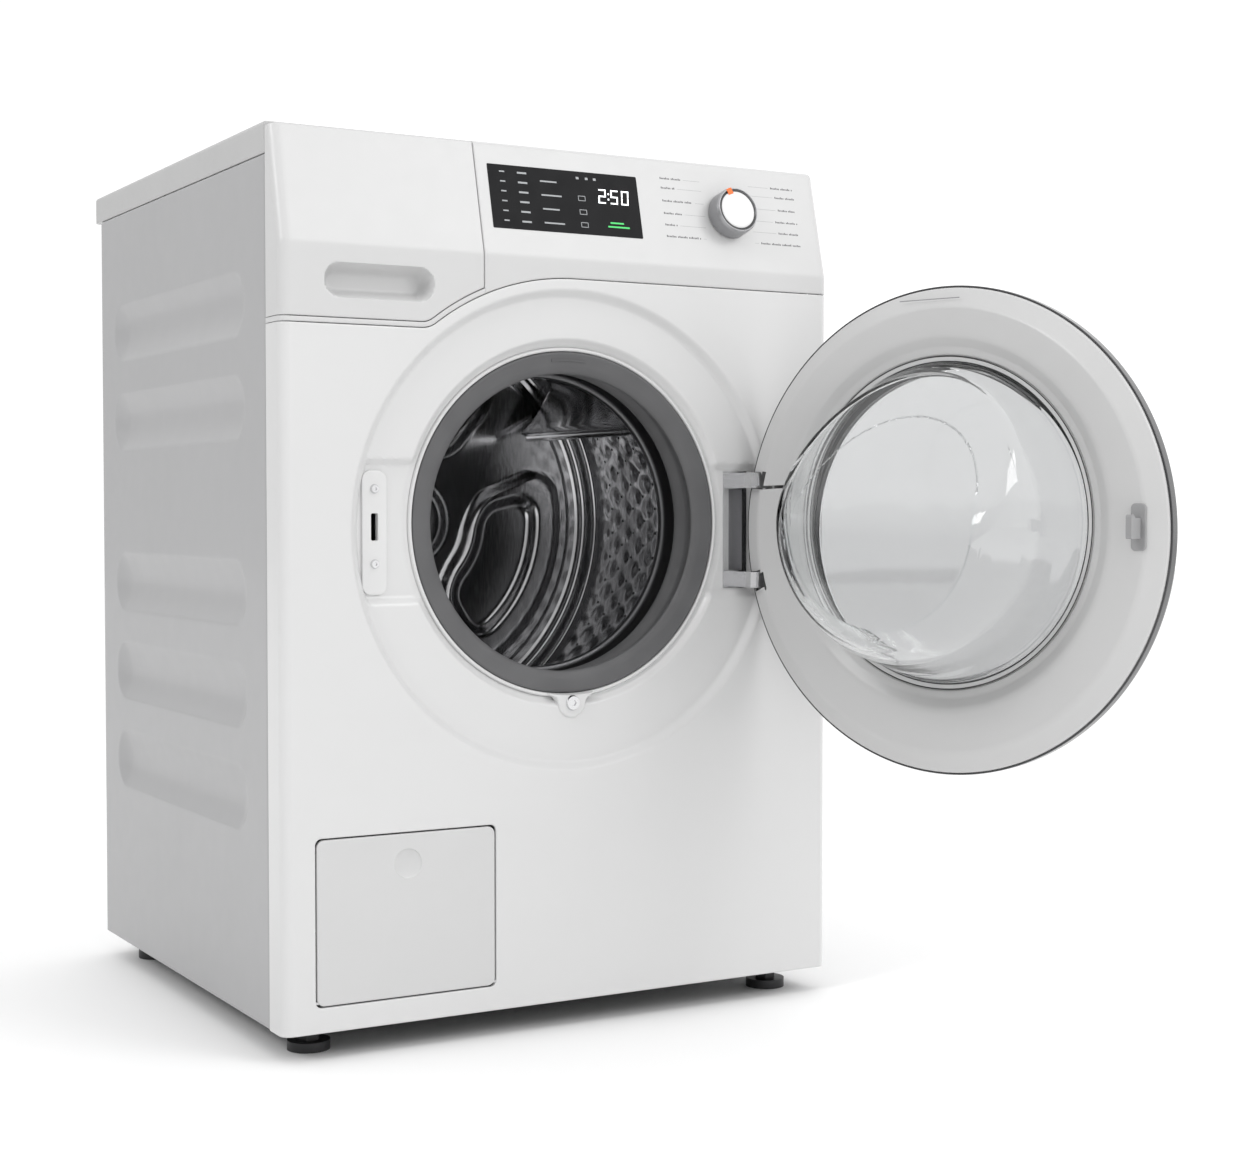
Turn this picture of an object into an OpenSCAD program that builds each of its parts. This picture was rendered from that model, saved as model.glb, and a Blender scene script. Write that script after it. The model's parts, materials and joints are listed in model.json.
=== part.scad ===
// Front load washing machine: cabinet, porthole door, dispenser drawer, controls, feet,
// and the sprung tub with its drum and belt drive. Millimetres, Z up, X to the right, Y to the back.
// The origin is on the floor, midway between the four feet.

/* [Cabinet] */
// Width over the side panels
cabinet_w = 596; // [592:2:610]
// Height from the floor to the top of the lid
cabinet_h = 850; // [846:2:870]
// Depth from the front panel to the back edge of the side panels
cabinet_d = 557; // [552:1:580]
// Height of the panels' lower edge above the floor
panel_bottom = 25; // [22:1:28]

/* [Door] */
// Radius of the white door ring
door_r = 228; // [226:0.5:228.5]
// Angle that the door stands open at, with 0 for closed
door_open = 110; // [90:1:120]
// Radius of the clear opening in the door ring
door_glass_r = 157; // [154:0.5:158]

/* [Drum] */
// Outer radius of the drum
drum_r = 240; // [234:1:241]
// Height of the drum's axis above the floor
axis_z = 487.5; // [486:0.5:489]

/* [Controls] */
// Radius of the programme dial
dial_r = 24; // [20:0.5:26]
// Length of the dial, out from the fascia
dial_h = 20; // [14:1:24]

/* [Hidden] */
$fn = 96;

// Cabinet
half_w = cabinet_w / 2;
foot_inset = 43;                          // from each side to a foot's axis
foot_front = 50;                          // from the front panel to the front feet
foot_rear = cabinet_d - 47;               // from the front panel to the rear feet
front_y = -(foot_front + foot_rear) / 2;  // plane of the front panel
lid_t = 29;
lid_overhang = 23;
panel_top = cabinet_h - lid_t;
sheet = 1.2;
flange = 14;
front_return = 36;                        // how far the front mouldings reach back
corner_r = 10;
wall = 2.4;

// Front panel: the shallow round recess that the door closes into
ring_z = 480;
ring_r = 230.5;
ring_depth = 7;
band_half_h = 66;                         // the deeper band across the recess, for lock and hinge
band_depth = 13;
mouth_r = 169.5;
arch_r = 241;                             // the panel's upper edge runs concentric with the recess
ledge_z = 667.5;                          // the panel's upper edge at the left
shoulder_z = ring_z + arch_r;             // and at the right
ledge_fillet = 25;

// Control fascia: upright up to the bend, then leaning back
bend_z = shoulder_z + 19;
lean_back = 26.5;
lean = atan(lean_back / (cabinet_h - bend_z));
gap = 0.6;
lip = 6;                                  // strip of fascia under the drawer
drawer_edge_x = -96;

display_x = -1.6;
display_s = 58;                           // up the lean, from the bend
display_w = 163.5;
display_h = 64;
dial_x = 183.5;
dial_s = 57;

// Service flap, low on the left
flap_x = -176;
flap_z = 125.3;
flap_w = 179.3;
flap_h = 151.5;
flap_gap = 1.3;

// Door lock and hinge
lock_x = -203.5;
hinge_x = 208;
hinge_v = -17;                            // in front of the front panel's plane
hinge_arm_z = [430, 529.7];
hinge_arm_h = 15.5;
pin_r = 3;

// Tub and drum, measured back from the front panel
tub_r = 257;
tub_wall = 5;
tub_front_v = 66;
tub_split_v = 250;
tub_rear_v = 432;
drum_front_v = 76;
drum_shoulder_v = 94;
drum_rear_v = 398;
drum_mouth_r = 143;
lifter_angles = [36, 156, 276];
lifter_wall = 2.5;
shaft_r = 17.5;
shaft_nose_r = 15;
run_fit = 0.05;                           // radial clearance of a running fit
pulley_r = 150;
motor_pulley_r = 12;
pulley_v = 492;
pulley_w = 18;
motor_x = 100;
motor_z = 176;
motor_r = 60;

// Dispenser drawer
tray_x0 = -258.5;
tray_x1 = -111.5;
tray_z0 = 741.6;
tray_z1 = 795;
tray_v1 = 325;

filter_x = -176;
filter_z = 118;
filter_r = 30;
spring_x = 274;
spring_v = [190, 330];
spring_bottom = 645;
spring_top = 774;
damper_x = 150;
damper_v = 272;
stud_r = 6;

// ---------- helpers ----------

// A box between two corners, with y measured back from the front panel
module block(low, high) {
  translate([low[0], front_y + low[1], low[2]])
    cube([high[0] - low[0], high[1] - low[1], high[2] - low[2]]);
}

// A cylinder or cone along Y
module round_y(v0, v1, r0, r1, x = 0, z = axis_z) {
  translate([x, front_y + v0, z])
    rotate([-90, 0, 0])
      cylinder(h = v1 - v0, r1 = r0, r2 = r1);
}

module rod_y(v0, v1, r, x = 0, z = axis_z) {
  round_y(v0, v1, r, r, x, z);
}

module rod_z(z0, z1, r, x, v) {
  translate([x, front_y + v, z0])
    cylinder(h = z1 - z0, r = r);
}

// A flat outline drawn in X and Z, given thickness along Y
module front_plate(v0, v1) {
  translate([0, front_y + v1, 0])
    rotate([90, 0, 0])
      linear_extrude(v1 - v0)
        children();
}

// A ring turned about the axis along Y, from an outline of [radius, v] points
module turned_y(outline, x = 0, z = axis_z) {
  translate([x, front_y, z])
    rotate([-90, 0, 0])
      rotate_extrude($fn = 180)
        polygon(outline);
}

module rounded_rect(w, h, r) {
  square([w - 2 * r, h], center = true);
  square([w, h - 2 * r], center = true);
  for (sx = [-1, 1], sz = [-1, 1])
    translate([sx * (w / 2 - r), sz * (h / 2 - r)])
      circle(r);
}

module stadium(w, h) {
  square([w - h, h], center = true);
  for (side = [-1, 1])
    translate([side * (w - h) / 2, 0])
      circle(h / 2);
}

// Everything that belongs to the door is drawn closed and swung open here
module swung_open() {
  translate([hinge_x, front_y + hinge_v, 0])
    rotate([0, 0, door_open])
      translate([-hinge_x, -front_y - hinge_v, 0])
        children();
}

// The leaning face of the fascia: X stays X, Y runs up the face, Z points out of it
module on_fascia(x, s) {
  translate([0, front_y, bend_z])
    rotate([90 - lean, 0, 0])
      translate([x, s, 0])
        children();
}

// ---------- cabinet ----------

module embossment(depth_out, grow) {
  translate([depth_out, 0, 0])
    rotate([90, 0, 90])
      linear_extrude(40)
        stadium(414 + 2 * grow, 61 + 2 * grow);
}

// The five embossed panels' heights: two over three
emboss_z = [692, 595.5, 422, 325.5, 229];
emboss_v = 298;
emboss_depth = 6;

module side_panel() {
  module at_each_emboss() {
    for (z = emboss_z)
      translate([0, front_y + emboss_v, z])
        children();
  }
  color("#c9cacb")
    difference() {
      union() {
        difference() {
          block([half_w - flange, front_return + gap, panel_bottom],
                [half_w, cabinet_d, panel_top]);
          block([0, front_return + gap + sheet, panel_bottom + sheet],
                [half_w - sheet, cabinet_d - sheet, panel_top - sheet]);
        }
        intersection() {
          at_each_emboss()
            embossment(half_w - emboss_depth - sheet, sheet);
          block([0, 0, 0], [half_w, cabinet_d, cabinet_h]);
        }
      }
      at_each_emboss()
        embossment(half_w - emboss_depth, 0);
    }
}

module side_panel_left() {
  mirror([1, 0, 0])
    side_panel();
}

module side_panel_right() {
  side_panel();
}

transit_x = 150;
transit_z = 270;
inlet_x = 215;
inlet_z = 785;
drain_x = -150;
mains_x = -225;

module rear_panel() {
  color("#c4c5c6")
    difference() {
      block([-half_w + 2, cabinet_d, panel_bottom + 2],
            [half_w - 2, cabinet_d + sheet, panel_top - 2]);
      rod_y(cabinet_d - 1, cabinet_d + 3, 185);
      for (sx = [-1, 1], sz = [-1, 1])
        rod_y(cabinet_d - 1, cabinet_d + 3, 9, sx * transit_x, axis_z + sz * transit_z);
      rod_y(cabinet_d - 1, cabinet_d + 3, 15, inlet_x, inlet_z);
      rod_y(cabinet_d - 1, cabinet_d + 3, 12, drain_x, inlet_z);
      rod_y(cabinet_d - 1, cabinet_d + 3, 12, mains_x, inlet_z);
    }
}

module rear_access_cover() {
  v = cabinet_d + sheet;
  color("#bdbebf") {
    turned_y([[0, v + 10], [160, v + 10], [172, v], [202, v], [202, v + sheet],
              [173, v + sheet], [161, v + 11.2], [0, v + 11.2]]);
    for (a = [45:90:315])
      rod_y(v + sheet, v + 4, 4.5, 191 * cos(a), axis_z + 191 * sin(a));
  }
}

module base_tray() {
  floor_z = panel_bottom + 1.5;
  x = half_w - flange - 1;
  color("#5a5c5e")
    difference() {
      union() {
        difference() {
          block([-x, front_return + 2, floor_z], [x, cabinet_d - 2, 62]);
          block([-x + 3, front_return + 5, floor_z + 3], [x - 3, cabinet_d - 5, 70]);
        }
        for (sx = [-1, 1], v = [foot_front, foot_rear])
          rod_z(floor_z, 64, 13, sx * (half_w - foot_inset), v);
        for (sx = [-1, 1])
          rod_z(floor_z, 38, 24, sx * damper_x, damper_v);
      }
      for (sx = [-1, 1], v = [foot_front, foot_rear])
        rod_z(floor_z - 1, 70, stud_r + run_fit, sx * (half_w - foot_inset), v);
    }
}

// The front view of the space under the fascia: its upper edge is a ledge, a round arch over
// the door and a higher shoulder to the right. edge moves that upper edge up.
module below_fascia(edge) {
  r = arch_r + edge;
  z = ledge_z + edge;
  fillet = ledge_fillet - edge;
  fillet_x = -sqrt(pow(r + fillet, 2) - pow(z + fillet - ring_z, 2));
  meet = r / (r + fillet);
  translate([-half_w - 1, 0])
    square([cabinet_w + 2, z]);
  square([half_w + 1, shoulder_z + edge]);
  translate([0, ring_z])
    circle(r, $fn = 180);
  difference() {
    polygon([[fillet_x, z - 1], [fillet_x, z],
             [fillet_x * meet, ring_z + (z + fillet - ring_z) * meet],
             [fillet_x * meet + 15, z - 1]]);
    // a hair larger, so that it crosses the edge and the arch instead of only touching them
    translate([fillet_x, z + fillet])
      circle(fillet + 0.02);
  }
}

// Plan view of the front mouldings, drawn inset from their outside. Short flats round the corners,
// so that the fascia's upright and leaning parts meet in clean mitres.
module front_plan(inset, depth, wider = 0) {
  r = corner_r - inset;
  x = half_w - inset + wider;
  corner = [for (a = [0 : 10 : 90]) [x - r + r * cos(a), corner_r - r * sin(a)]];
  polygon([
    [-x, depth],
    [x, depth],
    each corner,
    each [for (i = [len(corner) - 1 : -1 : 0]) [-corner[i][0], corner[i][1]]]
  ]);
}

module upright_front(inset, z0, z1) {
  translate([0, front_y, z0])
    linear_extrude(z1 - z0)
      front_plan(inset, front_return + inset);
}

// The fascia's outer form, upright below the bend and leaning above it: the two prisms cut each
// other along the bend. The leaning one is a hair wider, so that their sides don't coincide.
module fascia_form(inset) {
  intersection() {
    translate([0, front_y, ledge_z - 20])
      linear_extrude(cabinet_h - ledge_z + 40)
        front_plan(inset, 90);
    translate([0, front_y, bend_z])
      rotate([-lean, 0, 0])
        translate([0, 0, -150])
          linear_extrude(300)
            front_plan(inset, 150, 0.1);
    block([-half_w - 1, -1, ledge_z - 10],
          [half_w + 1, front_return + inset, cabinet_h - inset]);
  }
}

// The opening's corners are tighter than the flap's, so that the flap clears them as it swings
module flap_outline(grow) {
  translate([flap_x, flap_z])
    rounded_rect(flap_w + 2 * grow, flap_h + 2 * grow, 7.3 - grow);
}

flap_pin_v = 2.3;
flap_pin_z = flap_z - flap_h / 2 + 3.2;
flap_pin_r = 1.4;

module front_panel() {
  module band(half_h, v0, v1) {
    front_plate(v0, v1)
      intersection() {
        translate([-half_w, ring_z - half_h])
          square([cabinet_w, 2 * half_h]);
        translate([0, ring_z])
          circle(half_h == band_half_h ? ring_r - ring_depth : ring_r, $fn = 180);
      }
  }
  color("#ececec")
    difference() {
      union() {
        intersection() {
          difference() {
            upright_front(0, panel_bottom, cabinet_h);
            upright_front(wall, panel_bottom + wall, cabinet_h + 1);
          }
          front_plate(-1, front_return + 1)
            below_fascia(0);
        }
        rod_y(0, ring_depth + wall, ring_r + 4, 0, ring_z);
        band(band_half_h + wall, 0, band_depth + wall);
        rod_y(0, band_depth + wall, mouth_r + 9);
        // ears behind the panel that hold the flap's hinge pins
        for (side = [-1, 1])
          translate([flap_x + side * (flap_w / 2 + flap_gap + 3), 0, 0])
            block([-3, 1, flap_pin_z - 5], [3, flap_pin_v + 4, flap_pin_z + 5]);
      }
      round_y(-1, ring_depth, ring_r + 1, ring_r - ring_depth, 0, ring_z);
      band(band_half_h, 0.5, band_depth);
      round_y(ring_depth - 0.1, band_depth, mouth_r + 8, mouth_r + 2);
      rod_y(-1, 60, mouth_r);
      front_plate(-1, 30) {
        flap_outline(flap_gap);
        translate([hinge_plate_x, ring_z])
          square([29, 119], center = true);
        translate([lock_x, 484.2])
          square([12, 30], center = true);
        for (z = [450.2, 519.2])
          translate([lock_x, z])
            circle(2.2);
        translate([0, clamp_screw_z])
          circle(2.2);
      }
      translate([flap_x, 0, 0])
        rotate([0, 90, 0])
          translate([-flap_pin_z, front_y + flap_pin_v, -flap_w / 2 - 8])
            cylinder(h = flap_w + 16, r = flap_pin_r + run_fit, $fn = 32);
    }
}

// Rails across the top that carry the lid and the suspension springs
module cross_rails() {
  z0 = panel_top - 20.5;
  z1 = panel_top - 3;
  x = half_w - flange - 0.5;
  color("#9a9c9e")
    for (v = spring_v) {
      block([-x, v - 14, z0], [x, v + 14, z1]);
      for (side = [-1, 1])
        translate([side * spring_x, 0, 0])
          block([-3, v - 8, spring_top + 0.3], [3, v + 8, z0 + 1]);
    }
}

module top_lid() {
  v0 = front_return + 0.5;
  v1 = cabinet_d + lid_overhang;
  r = 6;
  color("#e4e4e4")
    translate([0, 0, panel_top + 0.3])
      linear_extrude(lid_t - 0.3) {
        translate([-half_w, front_y + v0])
          square([cabinet_w, v1 - v0 - r]);
        translate([-half_w + r, front_y + v0])
          square([cabinet_w - 2 * r, v1 - v0]);
        for (side = [-1, 1])
          translate([side * (half_w - r), front_y + v1 - r])
            circle(r);
      }
}

// ---------- fascia and its controls ----------

// The dispenser drawer's part of the front view: left of its seam, above the lip
module drawer_outline(grow) {
  difference() {
    translate([-half_w - 2, ledge_z])
      square([half_w + 2 + drawer_edge_x + grow, cabinet_h - 2.5 + grow - ledge_z]);
    below_fascia(lip - grow);
  }
}

module control_fascia() {
  color("#f1f1f1")
    difference() {
      fascia_form(0);
      difference() {
        fascia_form(wall);
        // the wall between the drawer bay and the controls
        block([drawer_edge_x, 0, ledge_z], [drawer_edge_x + gap + wall, 60, cabinet_h]);
      }
      front_plate(-2, front_return + 2)
        below_fascia(gap);
      front_plate(-2, front_return + 2)
        drawer_outline(gap);
      on_fascia(display_x, display_s)
        translate([0, 0, -10])
          linear_extrude(20)
            rounded_rect(display_w + 0.4, display_h + 0.4, 1.5);
      on_fascia(dial_x, dial_s)
        translate([0, 0, -10])
          cylinder(h = 20, r = 5);
    }
}

module display_window() {
  color("#0c0c0e")
    on_fascia(display_x, display_s)
      translate([0, 0, -2.2])
        linear_extrude(2.4)
          rounded_rect(display_w, display_h, 1.2);
}

module control_board() {
  color("#2f6b45")
    on_fascia(0, 0) {
      translate([display_x - 86, display_s - 36, -7.5])
        cube([295, 72, 1.6]);
      // display module behind the window
      translate([display_x - 76, display_s - 28, -5.9])
        cube([152, 56, 3.2]);
      // encoder that the dial sits on
      translate([dial_x, dial_s, -5.9])
        difference() {
          cylinder(h = 3.4, r = 11);
          translate([0, 0, -1])
            cylinder(h = 6, r = 3 + run_fit);
        }
    }
}

module dial_knob() {
  color("#c8c9ca")
    on_fascia(dial_x, dial_s) {
      rotate_extrude()
        polygon([[0, -1.5], [4.5, -1.5], [4.5, 0.6], [dial_r, 0.6], [dial_r, dial_h - 2.2],
                 [dial_r - 2.2, dial_h], [dial_r - 3, dial_h - 0.8], [0, dial_h - 0.8]]);
      translate([0, 0, -5.6])
        cylinder(h = 5, r = 3);
    }
}

handle_x = -201.3;
handle_z = 707.3;
handle_w = 108;
handle_h = 30.5;
handle_depth = 20;

module drawer_front() {
  module handle(grow) {
    translate([handle_x, handle_z])
      stadium(handle_w + 2 * grow, handle_h + 2 * grow);
  }
  color("#f1f1f1")
    difference() {
      union() {
        intersection() {
          difference() {
            fascia_form(0);
            fascia_form(wall + 0.6);
          }
          front_plate(-2, front_return - 0.5)
            drawer_outline(0);
        }
        front_plate(0.5, handle_depth + 2)
          handle(2);
        // posts that the tray is screwed to
        for (x = [tray_x0 + 20, tray_x1 - 20])
          rod_y(9, 26, 5, x, 768);
      }
      front_plate(-1, handle_depth)
        handle(0);
    }
}

module drawer_tray() {
  w = 2.2;
  x_split = [tray_x0 + 52, tray_x0 + 99];
  color("#e6e7e8")
    difference() {
      block([tray_x0, 26, tray_z0], [tray_x1, tray_v1, tray_z1]);
      block([tray_x0 + w, 26 + w, tray_z0 + w], [x_split[0] - w / 2, tray_v1 - w, tray_z1 + 1]);
      block([x_split[0] + w / 2, 26 + w, tray_z0 + w],
            [x_split[1] - w / 2, tray_v1 - w, tray_z1 + 1]);
      block([x_split[1] + w / 2, 26 + w, tray_z0 + w], [tray_x1 - w, tray_v1 - w, tray_z1 + 1]);
    }
}

spout_x = -185;
spout_v = 300;
hose_z = inlet_z - 3;

module dispenser_housing() {
  c = 0.8;  // play around the tray
  w = 2.4;
  color("#d4d5d6")
    difference() {
      union() {
        block([tray_x0 - c - w, front_return + 2, tray_z0 - c - w],
              [tray_x1 + c + w, tray_v1 + 8, tray_z1 + c + w]);
        rod_z(tray_z0 - 24, tray_z0 - 1, 17, spout_x, spout_v);
        rod_y(tray_v1 + 7, tray_v1 + 28, 7, spout_x, hose_z);
      }
      block([tray_x0 - c, front_return, tray_z0 - c], [tray_x1 + c, tray_v1 + 4, tray_z1 + c]);
      rod_z(tray_z0 - 30, tray_z0, 14.5, spout_x, spout_v);
      rod_y(tray_v1, tray_v1 + 30, 5.5, spout_x, hose_z);
    }
}

// ---------- door lock, hinge and gasket on the cabinet ----------

module lock_outline(grow) {
  intersection() {
    translate([lock_x, 478.9])
      rounded_rect(24.6 + 2 * grow, 114.8 + 2 * grow, 6);
    translate([0, ring_z])
      circle(ring_r - ring_depth - 4 + grow, $fn = 180);
  }
}

module lock_plate() {
  color("#eeeeee")
    difference() {
      front_plate(band_depth - 2.5, band_depth)
        lock_outline(0);
      front_plate(band_depth - 4, band_depth + 4) {
        translate([lock_x, 484.2])
          square([6.6, 25], center = true);
        for (z = [450.2, 519.2])
          translate([lock_x, z])
            circle(2.2);
      }
    }
}

module door_lock() {
  v0 = band_depth + wall + 0.2;
  color("#3b3d40")
    difference() {
      block([lock_x - 24, v0, 432], [lock_x + 20, 44, 536]);
      block([lock_x - 4, v0 - 1, 470], [lock_x + 4, 34, 498]);
      for (z = [450.2, 519.2])
        rod_y(v0 - 1, 32, 2.2, lock_x, z);
    }
}

module front_screws() {
  module screw(x, z, head_v, head_r) {
    difference() {
      union() {
        round_y(head_v - 2.2, head_v, head_r - 1, head_r, x, z);
        rod_y(head_v - 0.1, head_v + 16, 2, x, z);
      }
      rod_y(head_v - 3, head_v - 0.8, head_r * 0.42, x, z, $fn = 6);
    }
  }
  color("#b4b6b8") {
    for (z = [450.2, 519.2])
      screw(lock_x, z, band_depth - 2.5, 4.4);
    screw(0, clamp_screw_z, tab_v, 7.5);
  }
}

hinge_plate_x = hinge_x - 16.5;

module hinge_bracket() {
  v0 = band_depth - 1;
  // each arm hooks around the edge of the door ring to reach the pin
  module arm_plan() {
    translate([hinge_x, hinge_v]) {
      circle(5.4);
      polygon([[0, -5.4], [-13, -5], [-17, -1], [-17, v0 - hinge_v + 2],
               [-9, v0 - hinge_v + 2], [-9, 6], [-4, 3]]);
    }
  }
  color("#a9abad")
    difference() {
      union() {
        block([hinge_plate_x - 14, v0, ring_z - 59], [hinge_plate_x + 14, v0 + 3, ring_z + 59]);
        block([hinge_plate_x - 12, v0 + 2.9, ring_z - 57],
              [hinge_plate_x + 12, 44, ring_z + 57]);
        for (z = hinge_arm_z)
          translate([0, front_y, z - hinge_arm_h / 2])
            linear_extrude(hinge_arm_h)
              arm_plan();
      }
      // the pocket between the arms
      block([hinge_plate_x - 7.5, v0 - 1, ring_z - 41], [hinge_plate_x + 8.5, 42, ring_z + 41]);
      for (z = hinge_arm_z)
        rod_z(z - 10, z + 10, pin_r + run_fit, hinge_x, hinge_v);
    }
}

module door_gasket() {
  color("#6a6c6e")
    turned_y([[165, 14], [163, 11.5], [146, 15], [143.5, 18], [144, 22], [152, 27], [154, 50],
              [150, 58], [152, 64], [167, 64], [167, 56], [160, 54], [158, 30], [165, 22]]);
}

clamp_screw_z = axis_z - 174;
tab_v = 4.4;

module gasket_clamp() {
  color("#dfe0e1")
    difference() {
      union() {
        turned_y([[165.4, 12], [167, 10], [169, 11], [169, 21], [165.4, 21]]);
        // the tab that the clamp is screwed down by
        front_plate(tab_v, ring_depth - 0.2)
          translate([0, clamp_screw_z])
            difference() {
              union() {
                circle(15);
                polygon([[-14, 4], [14, 4], [23, 14], [-23, 14]]);
              }
              translate([0, axis_z - clamp_screw_z])
                circle(165.6, $fn = 180);
            }
        intersection() {
          turned_y([[165.5, tab_v], [169, tab_v], [169, 13], [165.5, 13]]);
          block([-14, 0, clamp_screw_z], [14, 20, clamp_screw_z + 15]);
        }
      }
      rod_y(0, 40, 2.2, 0, clamp_screw_z);
    }
}

// ---------- water, drain and mains ----------

module inlet_valve() {
  color("#e9e9e4") {
    block([inlet_x - 22, 505, inlet_z - 18], [inlet_x + 22, cabinet_d - 2, inlet_z + 12]);
    difference() {
      union() {
        rod_y(cabinet_d + 3, cabinet_d + 21, 13.2, inlet_x, inlet_z);
        rod_y(cabinet_d - 3, cabinet_d + 3.1, 12, inlet_x, inlet_z);
        rod_y(480, 506, 7, inlet_x, hose_z);
      }
      rod_y(cabinet_d + 2, cabinet_d + 22, 9, inlet_x, inlet_z);
      rod_y(478, 500, 5.5, inlet_x, hose_z);
    }
  }
}

// Runs from the inlet valve, across the back and forward to the dispenser
module water_hose() {
  r = 9;
  turn_v = 440;
  color("#4a4c4e")
    difference() {
      union() {
        rod_y(turn_v, 500, r, inlet_x, hose_z);
        translate([spout_x, front_y + turn_v, hose_z])
          rotate([0, 90, 0])
            cylinder(h = inlet_x - spout_x, r = r);
        for (x = [spout_x, inlet_x])
          translate([x, front_y + turn_v, hose_z])
            sphere(r = r);
        rod_y(tray_v1 + 10, turn_v, r, spout_x, hose_z);
      }
      rod_y(478, 502, 7.3, inlet_x, hose_z);
      rod_y(tray_v1 + 8, tray_v1 + 30, 7.3, spout_x, hose_z);
    }
}

module dispenser_hose() {
  color("#4a4c4e")
    translate([spout_x, front_y + spout_v, 0])
      rotate_extrude()
        polygon([[17.5, 733], [20.5, 733], [20.5, 724], [23, 720], [20, 716], [23, 712],
                 [20, 708], [23, 704], [20.5, 700], [20.5, 692], [17.5, 692], [17.5, 701],
                 [19, 704], [17, 708], [19, 712], [17, 716], [19, 720], [17.5, 724]]);
}

pump_z = filter_z;

module drain_pump() {
  color("#b9bbbd")
    difference() {
      union() {
        rod_y(40, 128, 37, filter_x, filter_z);
        block([filter_x - 60, 38, filter_z - 42], [filter_x + 60, 42, filter_z + 42]);
        rod_y(127, 165, 44, filter_x, pump_z);
        block([filter_x - 28, 60, panel_bottom + 4.8], [filter_x + 28, 150, pump_z]);
        rod_y(164, 222, 32, filter_x, pump_z);
        rod_z(pump_z, 178, 17, filter_x + 10, 100);
        rod_y(150, 238, 10, filter_x - 50, pump_z + 14);
        block([filter_x - 52, 140, pump_z + 4], [filter_x - 30, 162, pump_z + 24]);
      }
      rod_y(20, 124, 28, filter_x, filter_z);
      rod_y(20, 56, filter_r + 1.5, filter_x, filter_z);
      rod_z(pump_z + 10, 190, 14, filter_x + 10, 100);
      rod_y(180, 250, 8, filter_x - 50, pump_z + 14);
    }
}

module sump_hose() {
  color("#3c3e40")
    translate([filter_x + 10, front_y + 100, 0])
      rotate_extrude()
        polygon([[17.3, 168], [20.5, 168], [20.5, 186], [25, 192], [21, 198], [25, 204],
                 [21, 210], [25, 216], [21, 222], [25, 228], [21, 234], [21, 254], [17.3, 254],
                 [17.3, 234], [20, 228], [17.3, 222], [20, 216], [17.3, 210], [20, 204],
                 [17.3, 198], [20, 192], [17.3, 184]]);
}

module drain_pipe() {
  x = filter_x - 50;
  low = pump_z + 14;
  v = 515;
  r = 11;
  color("#8c8e90")
    difference() {
      union() {
        rod_y(239, v, r, x, low);
        rod_z(low, inlet_z, r, x, v);
        translate([x, front_y + v, inlet_z])
          rotate([0, 90, 0])
            cylinder(h = drain_x - x, r = r);
        for (z = [low, inlet_z])
          translate([x, front_y + v, z])
            sphere(r = r);
        translate([drain_x, front_y + v, inlet_z])
          sphere(r = r);
        rod_y(v, cabinet_d + 3.1, 9.5, drain_x, inlet_z);
        rod_y(cabinet_d + 3, cabinet_d + 23, 10.5, drain_x, inlet_z);
      }
      rod_y(v + 20, cabinet_d + 30, 8, drain_x, inlet_z);
    }
}

module mains_terminal() {
  color("#303234")
    difference() {
      union() {
        block([mains_x - 24, cabinet_d - 28, inlet_z - 16],
              [mains_x + 24, cabinet_d - 1, inlet_z + 14]);
        rod_y(cabinet_d - 2, cabinet_d + 16, 11, mains_x, inlet_z);
      }
      rod_y(cabinet_d - 14, cabinet_d + 20, 4.2, mains_x, inlet_z);
    }
}

// ---------- suspension ----------

damper_top = 150;
damper_bore = 8;

module damper_cylinders() {
  color("#7c7e80")
    for (side = [-1, 1])
      difference() {
        union() {
          rod_z(38.2, damper_top, 15, side * damper_x, damper_v);
          rod_z(38.2, 52, 19, side * damper_x, damper_v);
        }
        rod_z(60, damper_top + 1, damper_bore + run_fit, side * damper_x, damper_v);
      }
}

module damper_rods() {
  color("#c9cbcd")
    for (side = [-1, 1]) {
      rod_z(82, 262, damper_bore, side * damper_x, damper_v);
      rod_z(250, 264, 14, side * damper_x, damper_v);
    }
}

// The coils of a spring are drawn as grooves around a sleeve
module suspension_springs() {
  coils = 12;
  pitch = (spring_top - spring_bottom) / coils;
  color("#8f9193")
    for (side = [-1, 1], v = spring_v)
      translate([side * spring_x, front_y + v, spring_bottom])
        rotate_extrude($fn = 48)
          polygon(concat([[6, coils * pitch], [6, 0]],
                         [for (i = [0:coils - 1], step = [[7.5, 0.1], [10, 0.3], [10, 0.7]])
                            [step[0], (i + step[1]) * pitch]],
                         [[7.5, coils * pitch]]));
}

// ---------- tub unit ----------

sump_x = filter_x + 10;

module tub_front() {
  color("#d9dadb")
    difference() {
      union() {
        turned_y([[168, 52], [172, 52], [172, tub_front_v], [tub_r, tub_front_v],
                  [tub_r, tub_split_v - 10], [tub_r + 7, tub_split_v - 8],
                  [tub_r + 7, tub_split_v], [tub_r - tub_wall, tub_split_v],
                  [tub_r - tub_wall, tub_front_v + tub_wall], [168, tub_front_v + tub_wall]]);
        // outlet for the sump hose, on the low left
        rod_z(240, 315, 17, sump_x, 100);
        for (side = [-1, 1])
          spring_ear(side, spring_v[0]);
      }
      rod_y(tub_front_v + tub_wall, tub_split_v + 1, tub_r - tub_wall);
      rod_z(235, 330, 13.5, sump_x, 100);
    }
}

// An ear out to a suspension spring, part of a tub half
module spring_ear(side, v) {
  translate([side * (spring_x + 200) / 2, 0, 0])
    block([-46, v - 9, spring_bottom - 18], [46, v + 9, spring_bottom - 0.3]);
}

bearing_front_v = 424;
bearing_rear_v = 458;

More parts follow.
